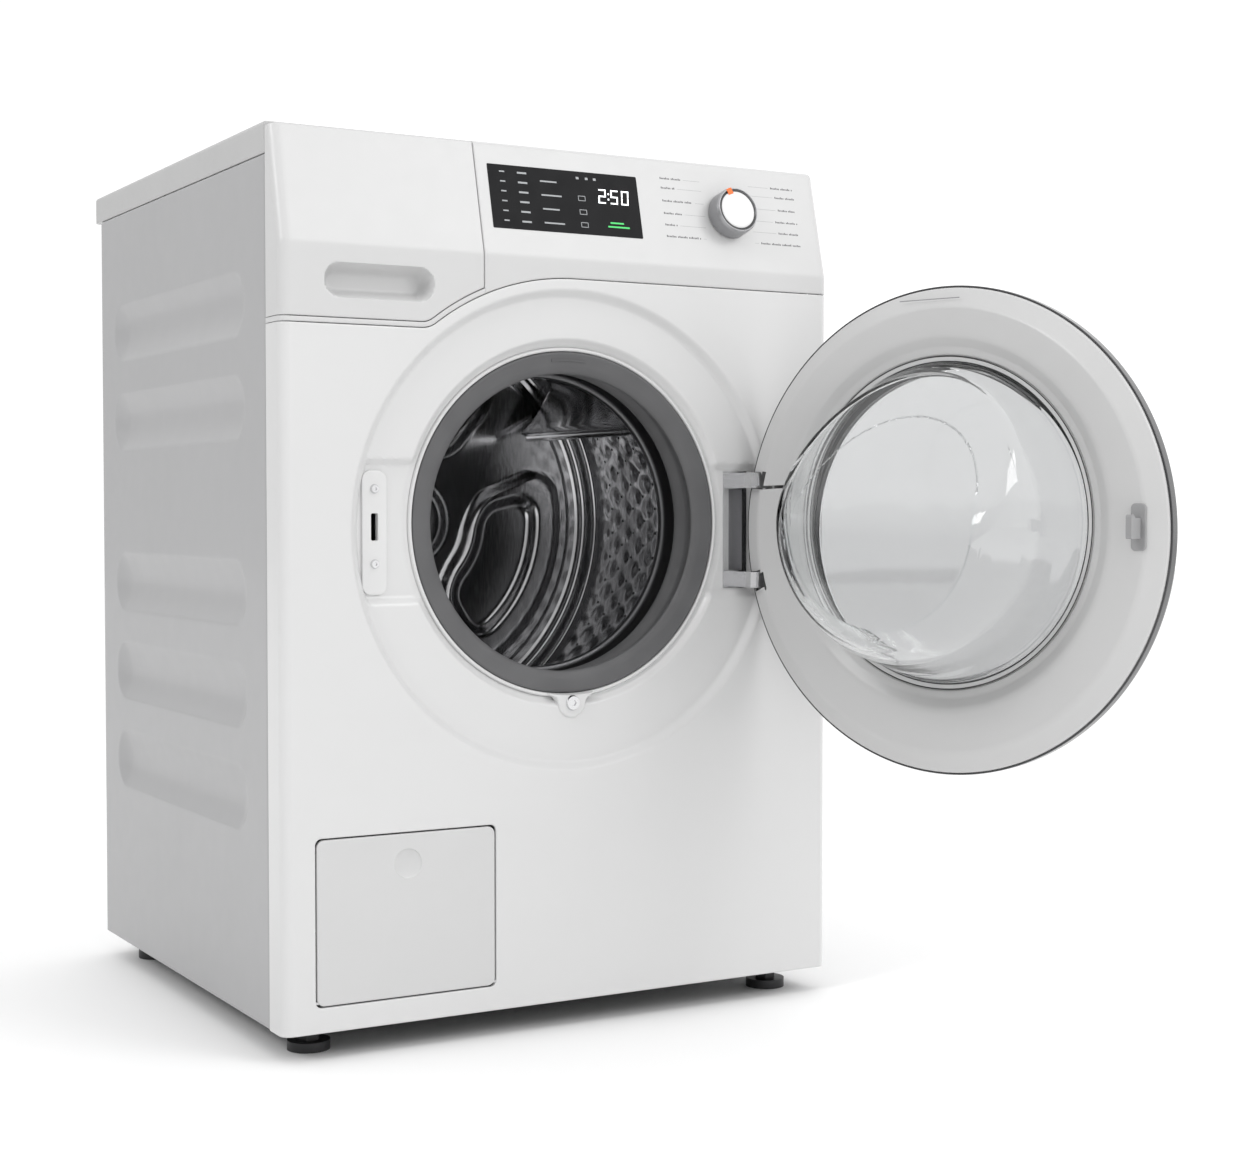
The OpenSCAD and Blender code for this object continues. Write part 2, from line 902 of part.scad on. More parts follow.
module tub_rear() {
  color("#cfd0d1")
    difference() {
      union() {
        turned_y([[0, tub_rear_v - 8], [tub_r - tub_wall, tub_rear_v - 8],
                  [tub_r - tub_wall, tub_split_v + 0.2], [tub_r + 7, tub_split_v + 0.2],
                  [tub_r + 7, tub_split_v + 8], [tub_r, tub_split_v + 10],
                  [tub_r, tub_rear_v], [62, tub_rear_v], [50, 478], [0, 478]]);
        // ribs across the back wall
        for (a = [22.5:45:360])
          translate([0, 0, axis_z])
            rotate([0, a, 0])
              block([40, tub_rear_v - 1, -3], [tub_r - 6, tub_rear_v + 16, 3]);
        // inlet from the dispenser
        rod_z(640, 706, 17, spout_x, spout_v);
        for (side = [-1, 1]) {
          spring_ear(side, spring_v[1]);
          // seat on a damper's head
          block([side * damper_x - 16, damper_v - 15, 264.2],
                [side * damper_x + 16, damper_v + 15, 300]);
        }
        // motor hangers
        for (x = [motor_x - 40, motor_x + 28])
          block([x, 300, motor_z + 30], [x + 12, 420, 285]);
      }
      rod_y(tub_split_v - 1, tub_rear_v - 8, tub_r - tub_wall);
      rod_y(tub_rear_v - 12, bearing_front_v + 17.2, 36.05);
      rod_y(bearing_front_v + 10, bearing_rear_v, 22);
      rod_y(bearing_rear_v - 0.2, 480, 31.05);
      rod_z(600, 720, 14, spout_x, spout_v);
      rod_y(290, 430, motor_r + 0.3, motor_x, motor_z);
      for (x = [-22, 22])
        rod_y(tub_rear_v - 20, tub_rear_v + 20, 3.6, x, axis_z - 245);
    }
}

module counterweight_outline() {
  difference() {
    circle(250, $fn = 180);
    circle(178, $fn = 180);
    translate([-300, -34])
      square([600, 68]);
  }
}

module front_counterweight() {
  color("#8b8a86")
    front_plate(48, tub_front_v - 0.2)
      translate([0, axis_z])
        counterweight_outline();
}

module top_counterweight() {
  color("#8b8a86")
    difference() {
      block([-88, 150, 702], [150, 410, 766]);
      rod_y(100, 450, tub_r + 0.3);
      rod_y(tub_split_v - 12, tub_split_v + 12, tub_r + 8);
    }
}

module ball_bearing(v, width, outer_r, inner_r) {
  color("#b6b8ba")
    difference() {
      rod_y(v, v + width, outer_r);
      rod_y(v - 1, v + width + 1, inner_r + run_fit);
      difference() {
        rod_y(v - 1, v + 1.2, outer_r - 5);
        rod_y(v - 1, v + 1.2, inner_r + 5);
      }
    }
}

module bearing_front() {
  ball_bearing(bearing_front_v, 17, 36, shaft_r);
}

module bearing_rear() {
  ball_bearing(bearing_rear_v, 16, 31, shaft_nose_r);
}

module heater() {
  z = axis_z - 245;
  color("#a7a9ab") {
    for (x = [-22, 22])
      rod_y(120, 446, 3.4, x, z);
    translate([-22, front_y + 120, z])
      rotate([0, 90, 0])
        cylinder(h = 44, r = 3.4);
    for (x = [-22, 22])
      translate([x, front_y + 120, z])
        sphere(r = 3.4);
    block([-32, 433, z - 9], [32, 439, z + 9]);
  }
}

module motor() {
  color("#5f6163")
    difference() {
      union() {
        rod_y(300, 420, motor_r, motor_x, motor_z);
        round_y(419.9, 440, motor_r - 8, 30, motor_x, motor_z);
        round_y(284, 300.1, 34, motor_r - 8, motor_x, motor_z);
      }
      rod_y(380, 450, 8 + run_fit, motor_x, motor_z);
    }
}

module motor_pulley() {
  color("#9fa1a3") {
    rod_y(381, pulley_v + 1, 8, motor_x, motor_z);
    rod_y(pulley_v, pulley_v + pulley_w, motor_pulley_r, motor_x, motor_z);
    for (v = [pulley_v, pulley_v + pulley_w - 1.5])
      rod_y(v, v + 1.5, motor_pulley_r + 3, motor_x, motor_z);
  }
}

// The loop that a belt makes around the two pulleys, a given height off both of them
module belt_loop(off) {
  dx = motor_x;
  dz = motor_z - axis_z;
  span = sqrt(dx * dx + dz * dz);
  heading = atan2(dz, dx);
  tilt = acos((pulley_r - motor_pulley_r) / span);
  big = pulley_r + off;
  small = motor_pulley_r + off;
  circle(big + 0.05, $fn = 180);
  translate([dx, dz])
    circle(small + 0.05);
  polygon([big * [cos(heading - tilt), sin(heading - tilt)],
           [dx, dz] + small * [cos(heading - tilt), sin(heading - tilt)],
           [dx, dz] + small * [cos(heading + tilt), sin(heading + tilt)],
           big * [cos(heading + tilt), sin(heading + tilt)]]);
}

module drive_belt() {
  color("#232425")
    front_plate(pulley_v + 2, pulley_v + pulley_w - 2)
      translate([0, axis_z])
        difference() {
          belt_loop(2.8);
          belt_loop(0.3);
        }
}

// ---------- drum ----------

module drum_shell() {
  color("#c2c4c6")
    turned_y([[drum_r - 1.2, drum_shoulder_v], [drum_r, drum_shoulder_v],
              [drum_r, drum_rear_v - 2], [drum_r - 1.2, drum_rear_v - 2]]);
}

module drum_front() {
  v = drum_shoulder_v - 0.2;
  color("#c8cacc")
    turned_y([[drum_mouth_r, drum_front_v + 3], [drum_mouth_r + 3, drum_front_v],
              [drum_mouth_r + 8, drum_front_v + 2], [drum_r - 12, v - 5], [drum_r, v],
              [drum_r - 2, v], [drum_r - 13, v - 3.6], [drum_mouth_r + 8, drum_front_v + 3.6],
              [drum_mouth_r + 4, drum_front_v + 6], [drum_mouth_r + 1, drum_front_v + 6]]);
}

module drum_back() {
  v = drum_rear_v - 1.8;
  color("#bfc1c3")
    difference() {
      union() {
        rod_y(v, v + 1.6, drum_r - 0.2, $fn = 180);
        turned_y([[60, v - 6], [110, v - 6], [120, v + 0.1], [50, v + 0.1]]);
      }
      rod_y(v - 10, v + 4, 8);
    }
}

// A lifter's cross-section, crest up, standing on the drum's inside
module lifter_section(inset) {
  r = drum_r - 1.6;
  crest = 158 + inset;
  foot = 34 - inset * 1.3;
  polygon([[-foot, sqrt(r * r - 34 * 34)], [inset * 1.2 - 20, 192], [inset - 9, crest + 4],
           [0, crest], [9 - inset, crest + 4], [20 - inset * 1.2, 192],
           [foot, sqrt(r * r - 34 * 34)]]);
}

module drum_lifters() {
  v0 = drum_shoulder_v + 12;
  v1 = drum_rear_v - 12;
  color("#cfd1d3")
    for (a = lifter_angles)
      difference() {
        front_plate(v0, v1)
          translate([0, axis_z])
            rotate(a - 90)
              lifter_section(0);
        front_plate(v0 + lifter_wall, v1 - lifter_wall)
          translate([0, axis_z])
            rotate(a - 90)
              translate([0, 0.1])
                lifter_section(lifter_wall);
      }
}

module drum_spider() {
  v = drum_rear_v;
  color("#77797b")
    difference() {
      union() {
        round_y(v, v + 22, 58, 44);
        for (a = lifter_angles)
          front_plate(v, v + 12)
            translate([0, axis_z])
              rotate(a)
                polygon([[20, -34], [drum_r - 6, -16], [drum_r - 6, 16], [20, 34]]);
      }
      rod_y(v - 1, v + 30, shaft_r);
    }
}

module drum_shaft() {
  color("#b0b2b4") {
    rod_y(drum_rear_v, bearing_rear_v - 2, shaft_r);
    rod_y(bearing_rear_v - 2.1, pulley_v + 12, shaft_nose_r);
    rod_y(pulley_v + 11.9, pulley_v + 26, 8);
  }
}

module drum_pulley() {
  v0 = pulley_v;
  v1 = pulley_v + pulley_w;
  color("#a4a6a8") {
    difference() {
      union() {
        difference() {
          rod_y(v0, v1, pulley_r);
          rod_y(v0 - 1, v1 + 1, pulley_r - 9);
        }
        rod_y(v0 + 5, v0 + 11, pulley_r - 8);
        rod_y(v0, v0 + 12, 30);
      }
      rod_y(v0 - 1, v0 + 20, shaft_nose_r);
      for (a = [0:60:300])
        rod_y(v0, v1, 32, 90 * cos(a), axis_z + 90 * sin(a));
    }
  }
}

// ---------- door ----------

face_v = -7;
rim_v = -22;
bowl_slant = 33.3;                        // of the bowl's upper face, back from upright
bowl_slant_off = 86.3;                    // that face's distance from the axis at the front

hinge_slot_x = hinge_x - 19;

module door_frame() {
  g = door_glass_r;
  step = 5;
  color("#e2e3e4")
    swung_open()
      difference() {
        turned_y([[g - 10, face_v], [door_r - 15, face_v], [door_r, face_v - 5],
                  [door_r, rim_v], [g - 10, rim_v]], 0, ring_z);
        round_y(face_v - step, face_v + 0.01, g + 8, g + 19.01);
        rod_y(rim_v - 1, face_v + 1, g);
        rod_y(rim_v - 1, rim_v + 5, g + 6);
        // slots that the hinge arms swing in
        for (z = hinge_arm_z)
          block([hinge_slot_x, rim_v - 1, z - hinge_arm_h / 2 - 0.8],
                [door_r + 5, face_v + 1, z + hinge_arm_h / 2 + 0.8]);
        rod_z(ring_z - 72, ring_z + 72, pin_r, hinge_x, hinge_v);
      }
}

module door_rim() {
  r = door_r + 2;
  inner = 148;
  color("#3a3b3d")
    swung_open()
      difference() {
        turned_y([[inner, rim_v - 0.2], [r, rim_v - 0.2], [r, rim_v - 6], [r - 4, rim_v - 11],
                  [r - 14, rim_v - 14], [inner + 14, rim_v - 14], [inner, rim_v - 9]], 0, ring_z);
        // relief behind the hinge eyes
        for (z = hinge_arm_z)
          block([hinge_slot_x, rim_v - 8, z - hinge_arm_h / 2 - 0.8],
                [door_r + 5, rim_v + 1, z + hinge_arm_h / 2 + 0.8]);
      }
}

module bowl_form(inset) {
  g = door_glass_r - 7 - inset;
  end = 100 - inset;
  intersection() {
    turned_y([[0, rim_v - 1], [g, rim_v - 1], [g - 4, 0], [g - 8, 12], [g - 14, 40],
              [g - 20, 62], [g - 27, 80], [g - 36, end - 5], [g - 44, end], [0, end]]);
    // the slanted upper face of the bowl
    translate([0, front_y, axis_z])
      rotate([bowl_slant, 0, 0])
        translate([-200, bowl_slant_off - inset - 400, -250])
          cube([400, 400, 500]);
  }
}

module door_bowl() {
  color("#cfd6da", 0.45)
    swung_open()
      difference() {
        union() {
          bowl_form(0);
          rod_y(rim_v + 0.3, rim_v + 4.7, door_glass_r + 5.5);
        }
        bowl_form(4);
        rod_y(rim_v - 2, rim_v + 0.3, 200);
      }
}

module door_window() {
  v = rim_v - 9;
  color("#aeb6ba", 0.5)
    swung_open()
      turned_y([[0, v - 12], [60, v - 10.5], [110, v - 6.5], [147.6, v], [147.6, v + 3],
                [109, v - 3.5], [60, v - 7.5], [0, v - 9]], 0, ring_z);
}

module hinge_pin() {
  color("#b9bbbd")
    swung_open()
      rod_z(ring_z - 70, ring_z + 70, pin_r, hinge_x, hinge_v);
}

module door_catch() {
  x = lock_x;
  color("#a3a5a7")
    swung_open() {
      block([x - 7, face_v, 464], [x + 7, face_v + 1.6, 505.5]);
      block([x - 2.7, face_v + 1.5, 474.5], [x + 2.7, face_v + 20, 494]);
      block([x - 2.7, face_v + 15, 494 - 0.1], [x + 2.7, face_v + 20, 495.8]);
    }
}

// ---------- flap, filter, feet ----------

module service_flap() {
  mark_r = 14;
  mark_depth = 2;
  mark_ball = (mark_r * mark_r + mark_depth * mark_depth) / (2 * mark_depth);
  color("#ededed") {
    difference() {
      front_plate(0, 3)
        flap_outline(0);
      // finger mark over the push latch
      translate([flap_x, front_y + mark_depth - mark_ball, 173])
        sphere(r = mark_ball, $fn = 180);
    }
    // hinge pins
    translate([flap_x, 0, 0])
      rotate([0, 90, 0])
        translate([-flap_pin_z, front_y + flap_pin_v, -flap_w / 2 - 5])
          cylinder(h = flap_w + 10, r = flap_pin_r, $fn = 32);
    // latch tongue
    block([flap_x - 7, 2.9, 180], [flap_x + 7, 12, 183]);
  }
}

module pump_filter() {
  color("#8fa3ad") {
    rod_y(28, 54, filter_r, filter_x, filter_z);
    block([filter_x - 24, 16, filter_z - 4], [filter_x + 24, 28.1, filter_z + 4]);
    difference() {
      rod_y(53.9, 118, 25, filter_x, filter_z);
      rod_y(60, 120, 22.5, filter_x, filter_z);
      for (a = [0:45:315])
        translate([filter_x, 0, filter_z])
          rotate([0, a, 0])
            block([15, 66, -4], [40, 110, 4]);
    }
  }
}

module foot(sx, v) {
  x = sx * (half_w - foot_inset);
  color("#2c2d2f")
    rod_z(0, 9, 20, x, v);
  color("#b4b6b8") {
    rod_z(8.9, 16, 11, x, v, $fn = 6);
    rod_z(15.9, 61, stud_r, x, v);
  }
}

module foot_front_left() {
  foot(-1, foot_front);
}

module foot_front_right() {
  foot(1, foot_front);
}

module foot_rear_left() {
  foot(-1, foot_rear);
}

module foot_rear_right() {
  foot(1, foot_rear);
}

side_panel_left();
side_panel_right();
rear_panel();
rear_access_cover();
base_tray();
front_panel();
cross_rails();
top_lid();
control_fascia();
display_window();
control_board();
dispenser_housing();
inlet_valve();
water_hose();
door_lock();
lock_plate();
front_screws();
hinge_bracket();
door_gasket();
gasket_clamp();
drain_pump();
sump_hose();
drain_pipe();
mains_terminal();
damper_cylinders();
suspension_springs();
dispenser_hose();
tub_front();
tub_rear();
front_counterweight();
top_counterweight();
bearing_front();
bearing_rear();
heater();
motor();
damper_rods();
drive_belt();
drum_shell();
drum_front();
drum_back();
drum_lifters();
drum_spider();
drum_shaft();
drum_pulley();
motor_pulley();
door_frame();
door_rim();
door_bowl();
door_window();
hinge_pin();
door_catch();
drawer_front();
drawer_tray();
dial_knob();
service_flap();
pump_filter();
foot_front_left();
foot_front_right();
foot_rear_left();
foot_rear_right();
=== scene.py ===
"""Front load washing machine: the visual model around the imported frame, with its camera and lights."""

import json
import math

import bmesh
import bpy
from mathutils import Matrix, Vector
from mathutils.geometry import tessellate_polygon


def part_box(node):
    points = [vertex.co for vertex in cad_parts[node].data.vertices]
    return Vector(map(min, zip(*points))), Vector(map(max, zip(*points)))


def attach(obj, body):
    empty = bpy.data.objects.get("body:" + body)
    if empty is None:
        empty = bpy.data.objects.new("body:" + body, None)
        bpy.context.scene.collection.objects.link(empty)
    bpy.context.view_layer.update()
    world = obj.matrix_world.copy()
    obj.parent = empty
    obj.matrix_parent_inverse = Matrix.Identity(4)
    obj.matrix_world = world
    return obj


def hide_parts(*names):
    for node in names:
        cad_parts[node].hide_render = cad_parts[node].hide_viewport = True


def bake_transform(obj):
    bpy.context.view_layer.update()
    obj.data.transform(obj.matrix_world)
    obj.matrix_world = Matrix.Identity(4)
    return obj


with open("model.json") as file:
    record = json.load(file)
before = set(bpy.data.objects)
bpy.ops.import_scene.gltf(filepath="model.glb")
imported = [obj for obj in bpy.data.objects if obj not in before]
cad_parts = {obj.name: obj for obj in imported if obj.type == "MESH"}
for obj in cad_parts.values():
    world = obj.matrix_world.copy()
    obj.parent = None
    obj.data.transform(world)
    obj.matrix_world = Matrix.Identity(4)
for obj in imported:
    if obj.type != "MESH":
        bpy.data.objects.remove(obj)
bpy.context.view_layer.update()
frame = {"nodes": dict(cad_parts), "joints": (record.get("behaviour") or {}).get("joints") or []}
nodes = frame["nodes"]
joints = {joint["name"]: joint for joint in frame["joints"]}
scene = bpy.context.scene

MM = 0.001

# ---------- sizes taken from the frame, in millimetres ----------


def low(node):
    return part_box(node)[0] / MM


def high(node):
    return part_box(node)[1] / MM


FRONT = low("front_panel").y          # plane of the front panel; v is measured back from it
HALF_W = high("front_panel").x
BOTTOM = low("front_panel").z
TOP = high("top_lid").z
LID_BOTTOM = low("top_lid").z
AXIS = (low("drum_shell").z + high("drum_shell").z) / 2
DRUM_R = high("drum_shell").x
SIDE_BACK = high("side_panel_right").y - FRONT

RING_Z = 480.0                        # the door ring and its recess in the front panel
RING_R = 230.5
RECESS_R = 223.5
RECESS_V = 7.0
FACE_V = -7.0                         # the closed door's inner face
BAND_HALF = 66.0
BAND_V = 13.0
MOUTH_R = 169.5
RETURN_V = 36.0
CORNER_R = 10.0

# the front panel's upper edge: a ledge, a fillet, an arch over the door, a shoulder
ARCH_R = 241.0
LEDGE_Z = 667.5
LEDGE_FILLET = 25.0
LIP = 6.0
SEAM = 0.6
DRAWER_EDGE_X = high("drawer_front").x

# the fascia: upright to the bend, then leaning back
BEND_Z = 740.0
LEAN = math.atan(26.5 / (TOP - BEND_Z))
BEND_SOFT = 2.0

hinge = joints["door_hinge"]
HINGE_X = hinge["pos_m"][0] / MM
HINGE_V = hinge["pos_m"][1] / MM - FRONT
DOOR_OPEN = math.radians(-hinge["range_deg"][0])


def place(x, v, z):
    """A point in metres from millimetres, with v measured back from the front panel."""
    return Vector((x, FRONT + v, z)) * MM


def swing(point):
    """A point of the closed door, carried to where the door stands open."""
    pivot = place(HINGE_X, HINGE_V, 0)
    return Matrix.Rotation(DOOR_OPEN, 3, "Z") @ (point - pivot) + pivot


def door_point(x, v, z):
    return swing(place(x, v, z))


# ---------- node-material helpers ----------


NOISE_LOW = 0.3                       # most of a noise texture lies between these values
NOISE_HIGH = 0.7


def map_range(tree, from_low, from_high, to_low, to_high):
    node = tree.nodes.new("ShaderNodeMapRange")
    ends = {"From Min": from_low, "From Max": from_high, "To Min": to_low, "To Max": to_high}
    for socket, value in ends.items():
        node.inputs[socket].default_value = value
    return node


class Material:
    """A node tree with a Principled shader, and short ways to wire detail into it."""

    def __init__(self, name, color, roughness, metallic=0.0):
        self.material = bpy.data.materials.new(name)
        self.material.use_nodes = True
        self.tree = self.material.node_tree
        self.shader = self.tree.nodes["Principled BSDF"]
        self.shader.inputs["Base Color"].default_value = (*color, 1)
        self.shader.inputs["Roughness"].default_value = roughness
        self.shader.inputs["Metallic"].default_value = metallic
        self.color = color
        self.bump_out = None

    def add(self, kind, **settings):
        node = self.tree.nodes.new(kind)
        for key, value in settings.items():
            if key in node.inputs:
                node.inputs[key].default_value = value
            else:
                setattr(node, key.lower(), value)
        return node

    def link(self, a, b):
        self.tree.links.new(a, b)

    def coordinates(self, stretch=(1, 1, 1)):
        source = self.add("ShaderNodeTexCoord")
        mapping = self.add("ShaderNodeMapping")
        mapping.inputs["Scale"].default_value = stretch
        self.link(source.outputs["Object"], mapping.inputs["Vector"])
        return mapping.outputs["Vector"]

    def noise(self, scale, detail=3.0, stretch=(1, 1, 1)):
        node = self.add("ShaderNodeTexNoise", Scale=scale, Detail=detail)
        self.link(self.coordinates(stretch), node.inputs["Vector"])
        return node.outputs["Fac"]

    def spread(self, value, low_value, high_value):
        """The texture value mapped to a range."""
        node = map_range(self.tree, NOISE_LOW, NOISE_HIGH, low_value, high_value)
        self.link(value, node.inputs["Value"])
        return node.outputs["Result"]

    def vary_color(self, value, amount):
        """Shifts the base colour a little lighter and darker with the texture."""
        ramp = self.add("ShaderNodeValToRGB")
        ends = zip(ramp.color_ramp.elements, (NOISE_LOW, NOISE_HIGH), (1 - amount, 1 + amount))
        for element, position, factor in ends:
            element.position = position
            element.color = (*(min(1.0, c * factor) for c in self.color), 1)
        self.link(value, ramp.inputs["Fac"])
        self.link(ramp.outputs["Color"], self.shader.inputs["Base Color"])
        return self

    def vary_roughness(self, value, low_value, high_value):
        self.link(self.spread(value, low_value, high_value), self.shader.inputs["Roughness"])
        return self

    def bump(self, value, height_mm, strength=1.0):
        """Adds relief of about that height, on top of any relief already there."""
        node = self.add("ShaderNodeBump")
        node.inputs["Strength"].default_value = strength
        node.inputs["Distance"].default_value = height_mm * MM
        self.link(value, node.inputs["Height"])
        if self.bump_out is not None:
            self.link(self.bump_out, node.inputs["Normal"])
        self.bump_out = node.outputs["Normal"]
        self.link(self.bump_out, self.shader.inputs["Normal"])
        return self

    def set(self, **sockets):
        names = {"coat": "Coat Weight", "coat_roughness": "Coat Roughness", "ior": "IOR",
                 "transmission": "Transmission Weight", "specular": "Specular IOR Level",
                 "emission": "Emission Strength"}
        for key, value in sockets.items():
            self.shader.inputs[names[key]].default_value = value
        return self


def grey(value, blue=0.0):
    """A neutral colour, with a little more blue if asked."""
    return (value, value, value + blue)


def enamel(name, color, roughness=0.3):
    """Sprayed and baked enamel: faint orange peel, slightly uneven gloss."""
    m = Material(name, color, roughness).set(coat=0.25, coat_roughness=0.12)
    m.vary_color(m.noise(6.0, 2.0), 0.008)
    m.vary_roughness(m.noise(40.0), roughness - 0.02, roughness + 0.03)
    m.bump(m.noise(300.0, 2.0), 0.003, 0.5)
    return m.material


def moulded(name, color, roughness=0.35, grain_mm=0.006, grain_scale=500.0, coat=0.1,
            specular=0.5):
    """Moulded plastic: fine spark-eroded grain and faint flow marks."""
    m = Material(name, color, roughness)
    m.set(coat=coat, coat_roughness=0.2, specular=specular)
    m.vary_color(m.noise(9.0, 3.0), 0.01)
    m.vary_roughness(m.noise(60.0, 4.0), roughness - 0.02, roughness + 0.04)
    m.bump(m.noise(grain_scale, 2.0), grain_mm, 0.5)
    return m.material


def rubber(name, color):
    """Moulded rubber: dull, slightly mottled, with a fine bloom."""
    m = Material(name, color, 0.5).set(specular=0.35)
    m.vary_color(m.noise(30.0, 5.0), 0.07)
    m.vary_roughness(m.noise(120.0, 4.0), 0.42, 0.62)
    m.bump(m.noise(1100.0, 3.0), 0.03, 0.7)
    return m.material


def brushed(name, color, roughness, stretch, metallic=1.0):
    """Rolled or brushed metal: fine lines along the stretch, cloudy gloss."""
    m = Material(name, color, roughness, metallic)
    m.vary_color(m.noise(12.0, 3.0), 0.08)
    m.vary_roughness(m.noise(60.0, 3.0, stretch), roughness - 0.04, roughness + 0.07)
    m.bump(m.noise(90.0, 2.0), 0.002, 0.4)
    return m.material


def cast(name, color, roughness=0.55, metallic=1.0, pit_mm=0.25):
    """Sand- or die-cast metal: pebbled skin and blotchy tone."""
    m = Material(name, color, roughness, metallic)
    m.vary_color(m.noise(25.0, 6.0), 0.15)
    m.vary_roughness(m.noise(80.0, 5.0), roughness - 0.1, roughness + 0.15)
    m.bump(m.noise(380.0, 5.0), pit_mm, 0.5)
    return m.material


def glass(name, color, roughness, ior=1.45):
    """Pressed glass: nearly clear, with faint waves from the mould."""
    m = Material(name, color, roughness).set(transmission=1.0, ior=ior)
    m.vary_color(m.noise(8.0, 2.0), 0.01)
    m.bump(m.noise(14.0, 2.0), 0.12, 0.4)
    return m.material


def printed(name, color, glow=0.0):
    """Screen print or lit display segments: a thin, slightly uneven ink."""
    m = Material(name, color, 0.5)
    m.vary_color(m.noise(300.0, 3.0), 0.05)
    if glow:
        m.shader.inputs["Emission Color"].default_value = (*color, 1)
        m.set(emission=glow)
    return m.material


WHITE_ENAMEL = enamel("white_enamel", grey(0.63))
# the sides take a darker copy of the white enamel: painted shade for the sides turned away from the
# light
SIDE_ENAMEL_PAINTED_SHADE = enamel("side_enamel_painted_shade", grey(0.37, 0.005), 0.45)
REAR_ENAMEL = enamel("rear_enamel", (0.60, 0.61, 0.62), 0.42)
WHITE_PLASTIC = moulded("white_plastic", grey(0.57), 0.36, 0.003)
# the lid's laminate is darker than the white enamel: painted shade, darkened along with the shaded sides
LID_LAMINATE_PAINTED_SHADE = moulded("lid_laminate_painted_shade", grey(0.45), 0.36, 0.01, 400.0)
DOOR_PLASTIC = moulded("door_plastic", grey(0.55), 0.36, 0.003)
CLAMP_PLASTIC = moulded("clamp_plastic", grey(0.64), 0.45, 0.004)
LOCK_PLASTIC = moulded("lock_plastic", grey(0.66), 0.36, 0.003)
SEAL_GREY = moulded("seal_grey", grey(0.30, 0.005), 0.45, 0.006, 500.0, 0.0)
TUB_PLASTIC = moulded("tub_plastic", (0.66, 0.67, 0.66), 0.5, 0.06, 500.0, 0.0)
TRAY_PLASTIC = moulded("tray_plastic", (0.72, 0.73, 0.75), 0.35)
BASE_PLASTIC = moulded("base_plastic", (0.06, 0.063, 0.066), 0.5, 0.06, 600.0, 0.0)
BLACK_PLASTIC = moulded("black_plastic", grey(0.018, 0.002), 0.42, 0.04, 800.0, 0.0)
GRAPHITE = moulded("graphite_gloss", grey(0.03, 0.003), 0.2, 0.004, 600.0, 0.5)
DISPLAY_BLACK = moulded("display_black", grey(0.004, 0.001), 0.4, 0.001, 600.0, 0.0, 0.12)
FILTER_PLASTIC = moulded("filter_plastic", (0.18, 0.25, 0.30), 0.4)
BOARD_GREEN = moulded("board_green", (0.02, 0.11, 0.05), 0.4, 0.05, 700.0, 0.3)
DIAL_SILVER = brushed("dial_silver", grey(0.36, 0.01), 0.36, (1, 1, 1))
DIAL_CAP = moulded("dial_cap", grey(0.74), 0.34, 0.004)
GASKET = rubber("gasket_rubber", grey(0.11, 0.003))
BLACK_RUBBER = rubber("black_rubber", grey(0.018, 0.001))
DRUM_STEEL = brushed("drum_steel", grey(0.54, 0.01), 0.18, (1, 12, 1))
# the drum's front ring takes a much darker copy of the drum steel: painted shade, so its rolled edge
# shows no bright line
RING_STEEL_PAINTED_SHADE = brushed("ring_steel_painted_shade", grey(0.15, 0.005), 0.42, (1, 12, 1))
FIN_STEEL = brushed("fin_steel", grey(0.72, 0.01), 0.12, (1, 12, 1))
PLATE_STEEL = brushed("back_plate_steel", grey(0.50, 0.01), 0.16, (12, 1, 1))
BRIGHT_STEEL = brushed("bright_steel", grey(0.70, 0.01), 0.2, (1, 1, 14))
CAST_ALLOY = cast("cast_alloy", grey(0.55, 0.01))
CAST_WEIGHT = cast("cast_weight", (0.16, 0.155, 0.15), 0.8, 0.3, 0.6)
BOWL_GLASS = glass("bowl_glass", (0.95, 0.96, 0.96), 0.02)
WINDOW_GLASS = glass("window_glass", grey(0.53, 0.005), 0.04)
INK_GREY = printed("ink_grey", grey(0.055, 0.005))
INK_LIGHT = printed("ink_light", grey(0.30, 0.01))
ORANGE = printed("orange_mark", (0.85, 0.16, 0.02))
DIGIT_WHITE = printed("digit_white", (0.9, 0.93, 0.95), 1.1)
SYMBOL_WHITE = printed("symbol_white", (0.30, 0.31, 0.32), 0.25)
SYMBOL_GREEN = printed("symbol_green", (0.05, 0.5, 0.12), 0.5)


# ---------- mesh helpers ----------


def finish_mesh(name, bm, material, body, sharp_deg=35):
    """Turns a bmesh into a piece that rides on a body."""
    bmesh.ops.remove_doubles(bm, verts=bm.verts, dist=0.00001)
    bmesh.ops.recalc_face_normals(bm, faces=bm.faces)
    mesh = bpy.data.meshes.new(name)
    bm.to_mesh(mesh)
    bm.free()
    for polygon in mesh.polygons:
        polygon.use_smooth = True
    mesh.set_sharp_from_angle(angle=math.radians(sharp_deg))
    piece = bpy.data.objects.new(name, mesh)
    scene.collection.objects.link(piece)
    piece.data.materials.append(material)
    # large flat faces keep their own normals next to rounded edges
    weighted = piece.modifiers.new("weighted_normals", "WEIGHTED_NORMAL")
    weighted.keep_sharp = True
    if body:
        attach(piece, body)
    return piece


def add_rows(bm, rows, closed=False, cap=False, keep=None):
    """Adds a grid of quads from rows of points. keep(centre) says which faces stay."""
    grid = [[bm.verts.new(p) for p in row] for row in rows]
    for row, after in zip(grid, grid[1:]):
        count = len(row)
        for i in range(count if closed else count - 1):
            j = (i + 1) % count
            corners = [row[i], row[j], after[j], after[i]]
            if keep and not keep(sum((c.co for c in corners), Vector()) / 4):
                continue
            bm.faces.new(corners)
    if cap:
        bm.faces.new(grid[0])
        bm.faces.new(grid[-1])
    return grid


def surface(name, rows, material, body, closed=False, cap=False, keep=None):
    bm = bmesh.new()
    add_rows(bm, rows, closed, cap, keep)
    return finish_mesh(name, bm, material, body)


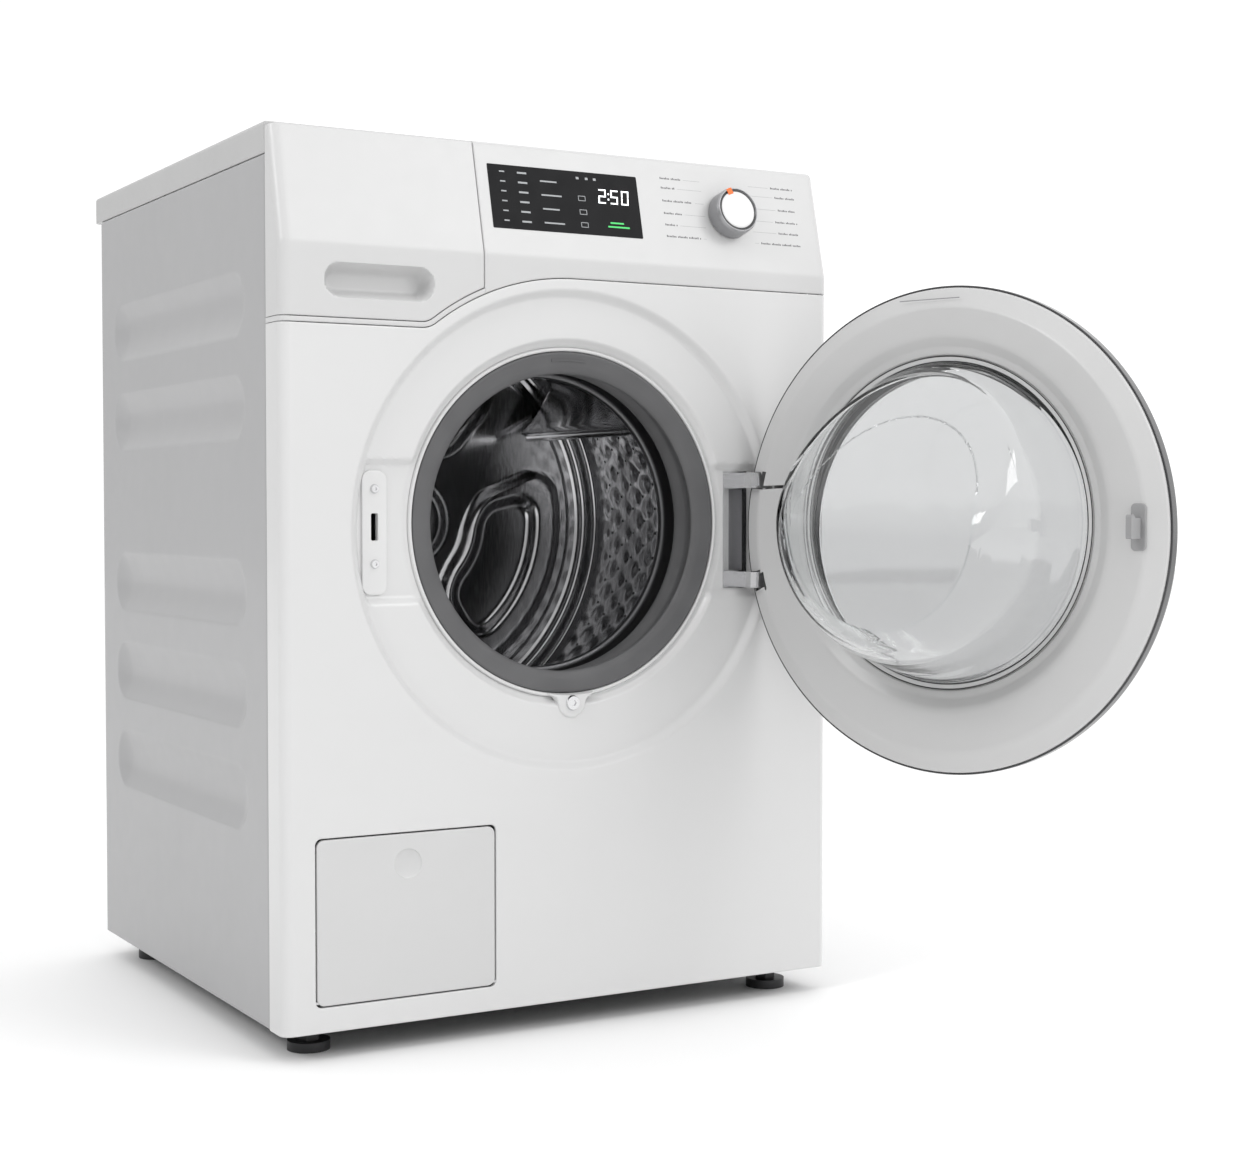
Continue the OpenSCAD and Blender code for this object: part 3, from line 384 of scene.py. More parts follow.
def rounded(points, radius, steps=5):
    """A polyline with its inner corners rounded off."""
    result = [Vector(points[0])]
    for before, corner, after in zip(points, points[1:], points[2:]):
        corner = Vector(corner)
        back = Vector(before) - corner
        ahead = Vector(after) - corner
        cut = min(radius, back.length * 0.49, ahead.length * 0.49)
        start = corner + back.normalized() * cut
        end = corner + ahead.normalized() * cut
        for i in range(steps + 1):
            t = i / steps
            result.append(start * (1 - t) ** 2 + corner * 2 * t * (1 - t) + end * t * t)
    result.append(Vector(points[-1]))
    return result


def full_turn(count):
    """Angles evenly around a circle."""
    return [2 * math.pi * i / count for i in range(count)]


def lathe_rows(profile, z=None, segments=192, put=place):
    """Rows of a form turned about an axis along Y, from [radius, v] points."""
    z = AXIS if z is None else z
    turn = full_turn(segments)
    return [[put(r * math.cos(a), v, z + r * math.sin(a)) for a in turn]
            for r, v in profile]


def lathe(name, profile, material, body, z=None, segments=192, put=place,
          loop=True):
    """A turned piece. With loop the profile closes on itself."""
    rows = lathe_rows(profile, z, segments, put)
    if loop:
        rows.append(rows[0])
    return surface(name, rows, material, body, closed=True)


def smooth(t):
    t = min(1.0, max(0.0, t))
    return t * t * (3 - 2 * t)


def soft_min(a, b, blend):
    h = min(1.0, max(0.0, 0.5 + 0.5 * (b - a) / blend))
    return b + (a - b) * h - blend * h * (1 - h)


def stadium_distance(x, y, width, height):
    """Distance outside (or minus the depth inside) a stadium centred on the origin."""
    reach = max(0.0, abs(x) - (width - height) / 2)
    return math.hypot(reach, y) - height / 2


def spread_range(start, stop, count):
    return [start + (stop - start) * i / count for i in range(count + 1)]


def refine(stops):
    """Positions along a line from [position, spacing up to the next] stops."""
    result = []
    for (a, spacing), (b, _) in zip(stops, stops[1:]):
        count = max(1, round((b - a) / spacing))
        result += spread_range(a, b, count)[:-1]
    return result + [stops[-1][0]]


def bar(bm, frame_of, x0, x1, y0, y1, thickness=0.05):
    """A thin printed bar on a surface, where frame_of(x, y, height) gives points."""
    top = [frame_of(x, y, thickness) for x, y in ((x0, y0), (x1, y0), (x1, y1), (x0, y1))]
    base = [frame_of(x, y, -0.02) for x, y in ((x0, y0), (x1, y0), (x1, y1), (x0, y1))]
    add_rows(bm, [base, top], closed=True)
    bm.faces.new([bm.verts.new(p) for p in top])


def tube(name, path, radius, material, body, sides=12):
    """A round wire or hose along a path of points in metres."""
    rows = []
    side = Vector((0, 0, 1))
    for i, point in enumerate(path):
        ahead = path[min(i + 1, len(path) - 1)] - path[max(i - 1, 0)]
        ahead.normalize()
        side = (side - ahead * side.dot(ahead)).normalized()
        across = ahead.cross(side)
        rows.append([point + (side * math.cos(a) + across * math.sin(a)) * radius * MM
                     for a in full_turn(sides)])
    return surface(name, rows, material, body, closed=True, cap=True)


# ---------- cabinet ----------

EMBOSS_Z = (692, 595.5, 422, 325.5, 229)
EMBOSS_V = 298.0
EMBOSS_W = 414.0
EMBOSS_H = 61.0
EMBOSS_DEPTH = 8.5


def side_panel(side):
    """One side: a sheet with five soft embossments, folded in around its edges."""
    z0 = BOTTOM
    z1 = low("top_lid").z - 0.3
    v0 = RETURN_V + SEAM
    v_stops = refine([(v0, 3), (EMBOSS_V - EMBOSS_W / 2 - 6, 2.5), (EMBOSS_V - 165, 12),
                      (EMBOSS_V + 165, 2.5), (EMBOSS_V + EMBOSS_W / 2 + 6, 6), (SIDE_BACK, 6)])
    z_stops = [z0]
    for centre in sorted(EMBOSS_Z):
        edge = EMBOSS_H / 2 + 4
        z_stops += refine([(centre - edge, 2.2), (centre + edge, 2.2)])
    z_stops.append(z1)

    def depth(v, z):
        deepest = 0.0
        for centre in EMBOSS_Z:
            inside = -stadium_distance(v - EMBOSS_V, z - centre, EMBOSS_W, EMBOSS_H)
            reach = min(1.0, max(0.0, inside / (EMBOSS_H / 2)))
            deepest = max(deepest, EMBOSS_DEPTH * (1 - (1 - reach) ** 2))
        return deepest

    fold = [(3.0, 0.0), (1.2, 0.35), (0.35, 1.2), (0.0, 3.0), (0.0, 13.5)]

    def row(z, z_fold):
        points = [(v0 + a, b) for a, b in reversed(fold)]
        points += [(v, 0.0) for v in v_stops if v0 + 3.5 < v < SIDE_BACK - 3.5]
        points += [(SIDE_BACK - a, b) for a, b in fold]
        return [place(side * (HALF_W - max(inward, z_fold) - depth(v, z)), v, z)
                for v, inward in points]

    rows = [row(z0 + a, b) for a, b in reversed(fold)]
    rows += [row(z, 0.0) for z in z_stops if z0 + 4 < z < z1 - 4]
    rows += [row(z1 - a, b) for a, b in fold]
    name = "side_panel_left" if side < 0 else "side_panel_right"
    # the sheet takes the darker side enamel, which paints in the shade on the sides
    piece = surface(name + "_sheet", rows, SIDE_ENAMEL_PAINTED_SHADE, "cabinet")
    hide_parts(name)


def front_edge(x, rise=0.0):
    """Height of the front panel's upper edge at x, moved up by rise."""
    r = ARCH_R + rise
    base = LEDGE_Z + rise
    fillet = LEDGE_FILLET - rise
    fillet_x = -math.sqrt((r + fillet) ** 2 - (base + fillet - RING_Z) ** 2)
    meet_x = fillet_x * r / (r + fillet)
    if x >= 0:
        return RING_Z + r
    if x >= meet_x:
        return RING_Z + math.sqrt(r * r - x * x)
    if x >= fillet_x:
        return base + fillet - math.sqrt(fillet ** 2 - (x - fillet_x) ** 2)
    return base


def corner_depth(x):
    """How far the rounded upright edges draw the front back at x."""
    over = abs(x) - (HALF_W - CORNER_R)
    if over <= 0:
        return 0.0
    return CORNER_R - math.sqrt(max(0.0, CORNER_R ** 2 - over ** 2))


def corner_columns():
    """Distances out along the rounded upright edge, closely spaced towards its end."""
    start = HALF_W - CORNER_R
    return [start + CORNER_R * math.sin(math.radians(a)) for a in range(0, 91, 15)]


EDGE = 1.3
EDGE_STEPS = [(EDGE * (1 - math.cos(math.radians(a))), EDGE * (1 - math.sin(math.radians(a))))
              for a in (0, 30, 60, 90)]
EDGE_STEPS.insert(0, (0.0, 3.5))      # the edge turned back into the seam


def recess_depth(x, z):
    """Depth of the front panel's round recess, its band and the roll into the mouth."""
    r_ring = math.hypot(x, z - RING_Z)
    r_mouth = math.hypot(x, z - AXIS)
    depth = RECESS_V * smooth((RING_R + 1.5 - r_ring) / (RING_R - RECESS_R + 2.5))
    band = smooth((BAND_HALF + 1.5 - abs(z - RING_Z)) / 7.0)
    band *= smooth((RECESS_R + 1.0 - r_ring) / 5.0)
    depth += (BAND_V - RECESS_V) * band
    roll = smooth((MOUTH_R + 8.5 - r_mouth) / 8.5)
    return depth + (BAND_V + 1.5 - depth) * roll


def flap_outline(grow):
    """The service flap's outline; its box also holds the hinge pins, 5 mm out each side."""
    return rounded_rectangle(low("service_flap").x + 5 - grow, high("service_flap").x - 5 + grow,
                             low("service_flap").z - grow, high("service_flap").z + grow,
                             7.3 - grow)


def rounded_rectangle(x0, x1, z0, z1, r, steps=8):
    """An outline as (x, z, outward x, outward z)."""
    points = []
    for cx, cz, start in ((x1 - r, z1 - r, 0), (x0 + r, z1 - r, 90),
                          (x0 + r, z0 + r, 180), (x1 - r, z0 + r, 270)):
        for i in range(steps + 1):
            a = math.radians(start + 90 * i / steps)
            points.append((cx + r * math.cos(a), cz + r * math.sin(a),
                           math.cos(a), math.sin(a)))
    return points


def fill_flat(bm, loops, v):
    """Fills the space between an outer loop and its holes, all at depth v."""
    flat = [[Vector((x, z, 0)) for x, z in loop] for loop in loops]
    verts = [bm.verts.new(place(x, v, z)) for loop in loops for x, z in loop]
    for triangle in tessellate_polygon(flat):
        bm.faces.new([verts[i] for i in triangle])


def roll_front_edges(bm, top):
    """The rounded upright edges, and the rolled upper and lower edges; top is the upper one."""
    for side in (-1, 1):
        columns = [(x, corner_depth(x)) for x in corner_columns()]
        columns.append((HALF_W, RETURN_V))
        rows = []
        for inset, depth in EDGE_STEPS:
            rows.append([place(side * x, min(RETURN_V, v + depth), BOTTOM + inset)
                         for x, v in columns])
        for inset, depth in reversed(EDGE_STEPS):
            rows.append([place(side * x, min(RETURN_V, v + depth),
                               front_edge(side * x) - inset) for x, v in columns])
        add_rows(bm, rows)
    start = HALF_W - CORNER_R
    add_rows(bm, [[place(x, depth, BOTTOM + inset) for x in (-start, start)]
                  for inset, depth in EDGE_STEPS])
    add_rows(bm, [[place(x, depth, z - inset) for x, z in top] for inset, depth in EDGE_STEPS])


LOCK_LOW = low("lock_plate")
LOCK_HIGH = high("lock_plate")
LOCK_X = (LOCK_LOW.x + LOCK_HIGH.x) / 2
LOCK_OPENING_Z = 484.0
HINGE_LOW = low("hinge_bracket")
HINGE_HIGH = high("hinge_bracket")
HINGE_OPENING_X = 203.0


def outside_openings(centre):
    """Whether a point of the recess lies outside the openings for the lock and the hinge."""
    x = centre.x / MM
    z = centre.z / MM
    in_lock = LOCK_LOW.x + 4 < x < LOCK_HIGH.x - 4 and abs(z - LOCK_OPENING_Z) < 20
    in_hinge = (HINGE_LOW.x + 3 < x < HINGE_OPENING_X
                and HINGE_LOW.z + 4 < z < HINGE_HIGH.z - 4)
    return not (in_lock or in_hinge)


def front_recess(bm, outer_r, turn):
    """The round recess, from its outer edge in to the mouth."""
    radii = refine([(MOUTH_R, 1.0), (MOUTH_R + 10, 3.5), (RECESS_R - 8, 1.2), (outer_r, 1.2)])
    rows = []
    for r in reversed(radii):
        lift = (AXIS - RING_Z) * (outer_r - r) / (outer_r - MOUTH_R)
        points = [(r * math.cos(a), RING_Z + lift + r * math.sin(a)) for a in turn]
        rows.append([place(x, recess_depth(x, z), z) for x, z in points])
    rows += lathe_rows([(MOUTH_R, BAND_V + 5)], segments=len(turn))
    add_rows(bm, rows, closed=True, keep=outside_openings)


def front_panel():
    """The front sheet: flat between its rolled edges, the flap opening and the recess."""
    bm = bmesh.new()
    start = HALF_W - CORNER_R
    arch = refine([(-start, 20), (-172, 2.5), (-120, 8), (0, 40), (start, 40)])
    top = [(x, front_edge(x)) for x in arch]
    roll_front_edges(bm, top)
    hole = flap_outline(1.3)
    rimmed_plate(bm, hole, [(-inset, depth) for inset, depth in EDGE_STEPS], place)
    turn = full_turn(480)
    outer_r = RING_R + 3
    front_recess(bm, outer_r, turn)

    outline = [(-start, BOTTOM + EDGE), (start, BOTTOM + EDGE)]
    outline += [(x, z - EDGE) for x, z in reversed(top)]
    circle = [(outer_r * math.cos(a), RING_Z + outer_r * math.sin(a)) for a in turn]
    fill_flat(bm, [outline, circle, [(x + nx * EDGE, z + nz * EDGE) for x, z, nx, nz in hole]],
              0.0)
    piece = finish_mesh("front_sheet", bm, WHITE_ENAMEL, "cabinet")
    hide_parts("front_panel")


def fascia_point(x, s, depth=0.0, height=0.0):
    """A point on the fascia: s runs up it from z, bending back at the bend."""
    start = BEND_Z - BEND_SOFT
    if s <= start:
        angle, v, z = 0.0, 0.0, s
    else:
        radius = 2 * BEND_SOFT / LEAN
        angle = min(LEAN, (s - start) / radius)
        straight = max(0.0, s - start - 2 * BEND_SOFT)
        v = radius * (1 - math.cos(angle)) + straight * math.sin(LEAN)
        z = start + radius * math.sin(angle) + straight * math.cos(LEAN)
    inward = depth - height
    return place(x, v + inward * math.cos(angle), z - inward * math.sin(angle))


FASCIA_TOP = BEND_Z + (TOP - BEND_Z) / math.cos(LEAN) - 0.15
TOP_ROUND = 5.0


def rolled_edge(columns, edge, turned=1):
    """Rows that roll the fascia's edge at height edge(x) back into its seam."""
    steps = EDGE_STEPS if turned > 0 else reversed(EDGE_STEPS)
    return [[fascia_point(x, edge(x) + turned * inset, d + depth) for x, d in columns]
            for inset, depth in steps]


def add_side_return(rows, at, v):
    """Carries each row back along the side of the cabinet, at its start or its end."""
    for row in rows:
        end = row[at]
        row.insert(0 if at == 0 else len(row), Vector((end.x, (FRONT + v) * MM, end.z)))


def control_fascia():
    """The fascia right of the drawer, and the lip that runs under the drawer."""
    bm = bmesh.new()
    seam_x = DRAWER_EDGE_X + SEAM

    def lower(x):
        return front_edge(x, SEAM)

    columns = [(seam_x + inset, depth) for inset, depth in EDGE_STEPS]
    columns += [(x, 0.0) for x in refine([(seam_x + 4, 5), (0, 30), (HALF_W - CORNER_R, 30)])]
    columns += [(x, corner_depth(x)) for x in corner_columns()[1:]]
    rows = rolled_edge(columns, lower)
    below_bend = 736.0 - BEND_SOFT
    for t in refine([(0.0, 0.09), (1.0, 0.09)])[1:]:
        rows.append([fascia_point(x, lower(x) + EDGE + (below_bend - lower(x) - EDGE) * t, d)
                     for x, d in columns])
    for s in refine([(below_bend + 2, 2), (BEND_Z + BEND_SOFT + 2, 12),
                     (FASCIA_TOP - TOP_ROUND, 12)]):
        rows.append([fascia_point(x, s, d) for x, d in columns])
    for i in range(1, 5):
        a = math.radians(22.5 * i)
        rows.append([fascia_point(x, FASCIA_TOP - TOP_ROUND * (1 - math.sin(a)),
                                  d + TOP_ROUND * (1 - math.cos(a))) for x, d in columns])
    add_side_return(rows, -1, RETURN_V)
    add_rows(bm, rows)

    # the lip under the drawer, between the drawer's seam and the front panel's
    columns = [(-x, corner_depth(x)) for x in reversed(corner_columns())]
    columns += [(x, 0.0) for x in refine([(-HALF_W + CORNER_R + 2, 20), (-172, 2.5),
                                          (-120, 6), (seam_x + 0.2, 6)])]
    rows = rolled_edge(columns, lower)
    rows += rolled_edge(columns, lambda x: front_edge(x, LIP - SEAM), -1)
    add_side_return(rows, 0, RETURN_V)
    add_rows(bm, rows)
    piece = finish_mesh("fascia_shell", bm, WHITE_PLASTIC, "cabinet")
    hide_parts("control_fascia")


HANDLE_X = -201.3
HANDLE_Z = 707.3
HANDLE_W = 108.0
HANDLE_H = 30.5
HANDLE_DEPTH = 19.0


def drawer_front():
    """The drawer's front, with its scooped handle."""

    def scoop(x, s):
        inside = -stadium_distance(x - HANDLE_X, s - HANDLE_Z, HANDLE_W, HANDLE_H)
        if inside <= -1:
            return 0.0
        lip = 1.2 * smooth((inside + 1) / 2.0)
        return lip + (HANDLE_DEPTH - 1.2) * math.sqrt(smooth(inside / 9.0))

    bm = bmesh.new()
    columns = [(-x, corner_depth(x)) for x in reversed(corner_columns())]
    columns += [(x, 0.0) for x in refine([(-HALF_W + CORNER_R + 3, 5), (-262, 1.6),
                                          (-140, 4), (DRAWER_EDGE_X - 4, 4)])]
    columns += [(DRAWER_EDGE_X - inset, depth) for inset, depth in reversed(EDGE_STEPS)]

    def lower_edge(x):
        return front_edge(x, LIP)

    rows = rolled_edge(columns, lower_edge)
    handle_low = HANDLE_Z - HANDLE_H / 2 - 2
    handle_high = HANDLE_Z + HANDLE_H / 2 + 2
    for t in spread_range(0, 1, 6)[1:]:
        rows.append([fascia_point(x, lower_edge(x) + EDGE
                                  + (max(handle_low, lower_edge(x) + 2) - lower_edge(x) - EDGE)
                                  * t, d) for x, d in columns])
    for s in refine([(handle_low + 1, 1.4), (handle_high, 1.4)]):
        rows.append([fascia_point(x, max(s, lower_edge(x) + 2 + (s - handle_low) * 0.05),
                                  d + scoop(x, s)) for x, d in columns])
    top_s = FASCIA_TOP - 2.3
    for s in refine([(handle_high + 2, 2), (BEND_Z + BEND_SOFT + 2, 12), (top_s - 3, 12)]):
        rows.append([fascia_point(x, s, d) for x, d in columns])
    rows += rolled_edge(columns, lambda x: top_s, -1)
    add_side_return(rows, 0, RETURN_V - 0.5)
    add_rows(bm, rows)
    piece = finish_mesh("drawer_face", bm, WHITE_PLASTIC, "drawer")
    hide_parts("drawer_front")


def rimmed_plate(bm, outline, rim, put):
    """A plate's edge and face from [inset, v] steps that end on the face."""
    grid = add_rows(bm, [[put(x - nx * inset, v, z - nz * inset) for x, z, nx, nz in outline]
                         for inset, v in rim], closed=True)
    return grid[-1]


def lock_plate():
    """The plate over the door lock, with the slot its hook enters."""
    v = LOCK_LOW.y - FRONT
    slot_z = 484.2
    outline = rounded_rectangle(LOCK_LOW.x, LOCK_HIGH.x, LOCK_LOW.z, LOCK_HIGH.z, 9.0)
    slot = rounded_rectangle(LOCK_X - 3.3, LOCK_X + 3.3, slot_z - 12.5, slot_z + 12.5, 1.5)
    bm = bmesh.new()
    rimmed_plate(bm, outline, [(0.0, v + 2.5), (0.0, v + 1.0), (0.3, v + 0.3), (1.0, v)], place)
    rimmed_plate(bm, slot, [(0.0, v + 6.0), (0.0, v + 0.6), (-0.6, v)], place)
    fill_flat(bm, [[(x - nx, z - nz) for x, z, nx, nz in outline],
                   [(x + 0.6 * nx, z + 0.6 * nz) for x, z, nx, nz in slot]], v)
    piece = finish_mesh("lock_cover", bm, LOCK_PLASTIC, "cabinet")
    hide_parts("lock_plate")


def door_catch():
    """The grey latch plate on the door ring, with the hook that enters the lock."""
    outline = rounded_rectangle(LOCK_X - 7, LOCK_X + 7, 464, 505.5, 4.0)
    bm = bmesh.new()
    face = rimmed_plate(bm, outline, [(0.0, FACE_V), (0.0, FACE_V + 1.0), (0.3, FACE_V + 1.4),
                                      (0.8, FACE_V + 1.6)], door_point)
    bm.faces.new(face)
    hook = rounded([(FACE_V + 1.5, 474.5), (FACE_V + 20, 474.5), (FACE_V + 20, 495.8),
                    (FACE_V + 15, 495.8), (FACE_V + 13, 493), (FACE_V + 1.5, 493)], 2.0, 3)
    add_rows(bm, [[door_point(LOCK_X + dx, v, z) for v, z in hook] for dx in (-2.7, 2.7)],
             closed=True, cap=True)
    piece = finish_mesh("latch_plate", bm, SEAL_GREY, "door")
    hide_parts("door_catch")


FLAP_MARK_Z = 173.0                   # the finger mark over the push latch
FLAP_MARK_R = 14.0


def service_flap():
    """The flap over the pump filter, with its finger mark, hinge pins and latch tongue."""
    bm = bmesh.new()
    outline = flap_outline(0.0)
    rimmed_plate(bm, outline, EDGE_STEPS, place)
    cx = (low("service_flap").x + high("service_flap").x) / 2
    cz = FLAP_MARK_Z
    mark_r = FLAP_MARK_R
    turn = full_turn(64)
    profile = [(mark_r, 0.0), (mark_r - 0.4, 0.6)]
    profile += [(mark_r * t, 2.7 * math.cos(t * math.pi / 2) ** 0.8 + 0.6 * t)
                for t in (0.9, 0.75, 0.6, 0.45, 0.3, 0.15, 0.02)]
    add_rows(bm, [[place(cx + r * math.cos(a), v, cz + r * math.sin(a)) for a in turn]
                  for r, v in profile], closed=True)
    fill_flat(bm, [[(x - nx * EDGE, z - nz * EDGE) for x, z, nx, nz in outline],
                   [(cx + mark_r * math.cos(a), cz + mark_r * math.sin(a)) for a in turn]], 0.0)
    fill_flat(bm, [[(x, z) for x, z, _, _ in outline]], 3.5)
    # hinge pins at the lower corners, and the latch tongue behind the finger mark
    pin = joints["flap_hinge"]["pos_m"]
    for side in (-1, 1):
        x0 = cx + side * 80
        add_rows(bm, [[Vector((x * MM, pin[1] + 1.4 * MM * math.cos(a),
                               pin[2] + 1.4 * MM * math.sin(a)))
                       for a in full_turn(12)]
                      for x in (x0, cx + side * 94.6)], closed=True, cap=True)
    tongue = [(-7, 180), (7, 180), (7, 183), (-7, 183)]
    add_rows(bm, [[place(cx + dx, v, z) for dx, z in tongue] for v in (3.4, 12)],
             closed=True, cap=True)
    piece = finish_mesh("flap_panel", bm, WHITE_PLASTIC, "flap")
    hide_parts("service_flap")


def top_lid():
    """The lid: a slab with its upper edges rounded over."""
    v0 = low("top_lid").y - FRONT
    v1 = high("top_lid").y - FRONT
    rows = []

    def ring(inset, z):
        r = max(0.5, 6.0 - inset)
        points = []
        for cx, cv, start in ((HALF_W - 6, v1 - 6, 0), (-HALF_W + 6, v1 - 6, 90),
                              (-HALF_W + 2, v0 + 2, 180), (HALF_W - 2, v0 + 2, 270)):
            radius = r if start < 180 else max(0.4, 2.0 - inset * 0.3)
            for i in range(7):
                a = math.radians(start + 15 * i)
                points.append(place(cx + radius * math.cos(a), cv + radius * math.sin(a), z))
        return points

    rows.append(ring(3, LID_BOTTOM))
    rows.append(ring(0.5, LID_BOTTOM + 0.3))
    rows.append(ring(0, LID_BOTTOM + 1.2))
    for i in range(6):
        a = math.radians(18 * i)
        rows.append(ring(4 * (1 - math.cos(a)), TOP - 4 * (1 - math.sin(a))))
    # the slab takes the darkened lid laminate, which paints in shade
    piece = surface("lid_slab", rows, LID_LAMINATE_PAINTED_SHADE, "cabinet", closed=True,
                    cap=True)
    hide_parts("top_lid")


# ---------- controls ----------

DISPLAY_S = BEND_Z + 58
DIAL_X = joints["dial_turn"]["pos_m"][0] / MM
DIAL_S = BEND_Z + 57


def on_display(x, s, height):
    return fascia_point(x, s, 0.0, 0.24 + height)


def on_fascia(x, s, height):
    return fascia_point(x, s, 0.0, height + 0.01)


SEGMENTS = {"2": "abged", "5": "afgcd", "0": "abcdef"}


def seven_segment(bm, digit, x, s, width, height):
    """One digit, sloped a little, its lower left corner at (x, s)."""
    t = 1.9
    half = height / 2
    bars = {
        "a": (0, width, height - t, height), "g": (0, width, half - t / 2, half + t / 2),
        "d": (0, width, 0, t), "f": (0, t, half, height), "b": (width - t, width, half, height),
        "e": (0, t, 0, half), "c": (width - t, width, 0, half),
    }

    def sloped(px, py, h):
        return on_display(x + px + (py) * 0.1, s + py, h)

    for segment in SEGMENTS[digit]:
        x0, x1, y0, y1 = bars[segment]
        gap = 0.25
        bar(bm, sloped, x0 + gap, x1 - gap, y0 + gap, y1 - gap)


def display():
    """The lit digits, and small generic bars where the touch fields are."""
    bm = bmesh.new()
    s = DISPLAY_S + 1
    for digit, x in (("2", 34), ("5", 47.5), ("0", 59.5)):
        seven_segment(bm, digit, x, s, 8.6, 15)
    for rise in (4, 9.5):
        bar(bm, on_display, 44.6 + rise * 0.1, 46.2 + rise * 0.1, s + rise, s + rise + 1.7)
    finish_mesh("display_digits", bm, DIGIT_WHITE, "cabinet")

    bm = bmesh.new()
    for row in range(6):
        level = DISPLAY_S + 24.5 - row * 9.8
        bar(bm, on_display, -71, -65.5, level, level + 1.3)
        bar(bm, on_display, -52, -42, level - 0.3, level + 1.5)
    for row in range(4):
        level = DISPLAY_S + 18 - row * 14
        bar(bm, on_display, -28, -10 + 4 * (row % 2), level, level + 1.5)
    for x in (12, 22, 31):
        bar(bm, on_display, x, x + 3, DISPLAY_S + 24, DISPLAY_S + 26.4)
    finish_mesh("display_fields", bm, SYMBOL_WHITE, "cabinet")
    bm = bmesh.new()
    bar(bm, on_display, 45, 60, DISPLAY_S - 19, DISPLAY_S - 17.4)
    bar(bm, on_display, 42, 66, DISPLAY_S - 23, DISPLAY_S - 21.4)
    finish_mesh("display_start_field", bm, SYMBOL_GREEN, "cabinet")
    # outlined key shapes beside the digits
    bm = bmesh.new()
    for level in (DISPLAY_S + 2, DISPLAY_S - 12, DISPLAY_S - 25):
        for x0, x1, y0, y1 in ((12, 20, 0, 0.6), (12, 20, 4.6, 5.2), (12, 12.6, 0, 5.2),
                               (19.4, 20, 0, 5.2)):
            bar(bm, on_display, x0, x1, level + y0, level + y1)
    finish_mesh("display_keys", bm, SYMBOL_WHITE, "cabinet")


def dial():
    """The dial: satin sides, a white cap and an orange pointer."""
    base = fascia_point(DIAL_X, DIAL_S)
    normal = (fascia_point(DIAL_X, DIAL_S, 0, 1) - base).normalized()
    right = Vector((1, 0, 0))
    up = normal.cross(right)
    r = 24.0
    h = 20.0

    def put(x, v, z):
        return base + (right * x + up * z - normal * v) * MM

    side = rounded([(0.02, -0.6), (r - 1.5, -0.6), (r, -1.6), (r - 0.3, -h + 3),
                    (r - 1.6, -h), (r - 2.4, -h), (r - 2.8, -h + 1.6), (0.02, -h + 1.6)], 0.8)
    body = lathe("dial_body", side, DIAL_SILVER, "dial", 0.0, 128, put,
                 loop=False)
    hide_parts("dial_knob")
    # the groove's floor is a black ring: painted shade in the groove between the satin side and the cap
    groove = [(r - 5.6, -h + 1.3), (r - 2.9, -h + 1.3)]
    lathe("dial_groove_painted_shade", groove, BLACK_PLASTIC, "dial", 0.0, 128, put,
          loop=False)
    cap = rounded([(0.02, -h + 1.4), (0.02, -h + 0.1), (r - 6.6, -h + 0.1),
                   (r - 5.0, -h + 0.8), (r - 5.0, -h + 1.4)], 1.0)
    lathe("dial_cap", cap, DIAL_CAP, "dial", 0.0, 128, put, loop=False)
    angle = math.radians(112)
    mark = bmesh.new()

    def along(x, y, height):
        out = right * math.cos(angle) + up * math.sin(angle)
        across = normal.cross(out)
        return base + (across * x + out * y + normal * (h + height)) * MM

    bar(mark, along, -3.1, 3.1, r - 7.2, r - 0.8, 0.25)
    finish_mesh("dial_pointer", mark, ORANGE, "dial")


def programme_marks():
    """Generic bars and leader lines in place of the programme names, six rows a side."""
    text = bmesh.new()
    lines = bmesh.new()
    levels = [90.5, 80.5, 67, 54, 42, 30]
    lengths = {-1: (24, 16, 35, 21, 14, 40), 1: (28, 24, 22, 27, 25, 48)}
    for side, outer in ((-1, 108.0), (1, 268.0)):
        for i, level in enumerate(levels):
            s = BEND_Z + level
            inner = outer - side * lengths[side][i]
            end = DIAL_X + side * (27 + abs(i - 2.5) * 0.8)
            words(text, min(outer, inner), max(outer, inner), s)
            x0, x1 = sorted((inner - side * 3, end))
            bar(lines, on_fascia, x0, x1, s + 0.55, s + 0.85, 0.02)
    finish_mesh("programme_bars", text, INK_GREY, "cabinet")
    finish_mesh("programme_leaders", lines, INK_LIGHT, "cabinet")


def words(bm, x0, x1, s):
    """A row of short strokes, as small print reads from a distance."""
    x = x0
    step = 0
    while x < x1 - 1.0:
        tall = 2.1 if step % 4 == 0 else 1.5
        bar(bm, on_fascia, x, x + 1.0, s, s + tall, 0.02)
        step += 1
        x += 1.65 if step % 7 else 3.0


# ---------- door ----------

RIM_V = -22.0
DOOR_R = 228.0
OPENING_R = 157.0


ARM_SLOT_X = HINGE_X - 19             # the slots that the hinge arms swing in
ARM_SLOT_HALF = 8.6
ARM_Z = (430.0, 529.7)


def clear_of_arms(centre):
    """Whether a point of the open door lies outside the slots for the hinge arms."""
    local = Matrix.Rotation(-DOOR_OPEN, 3, "Z") @ (centre - place(HINGE_X, HINGE_V, 0))
    x = local.x / MM + HINGE_X
    z = centre.z / MM
    return not (x > ARM_SLOT_X and any(abs(z - a) < ARM_SLOT_HALF for a in ARM_Z))


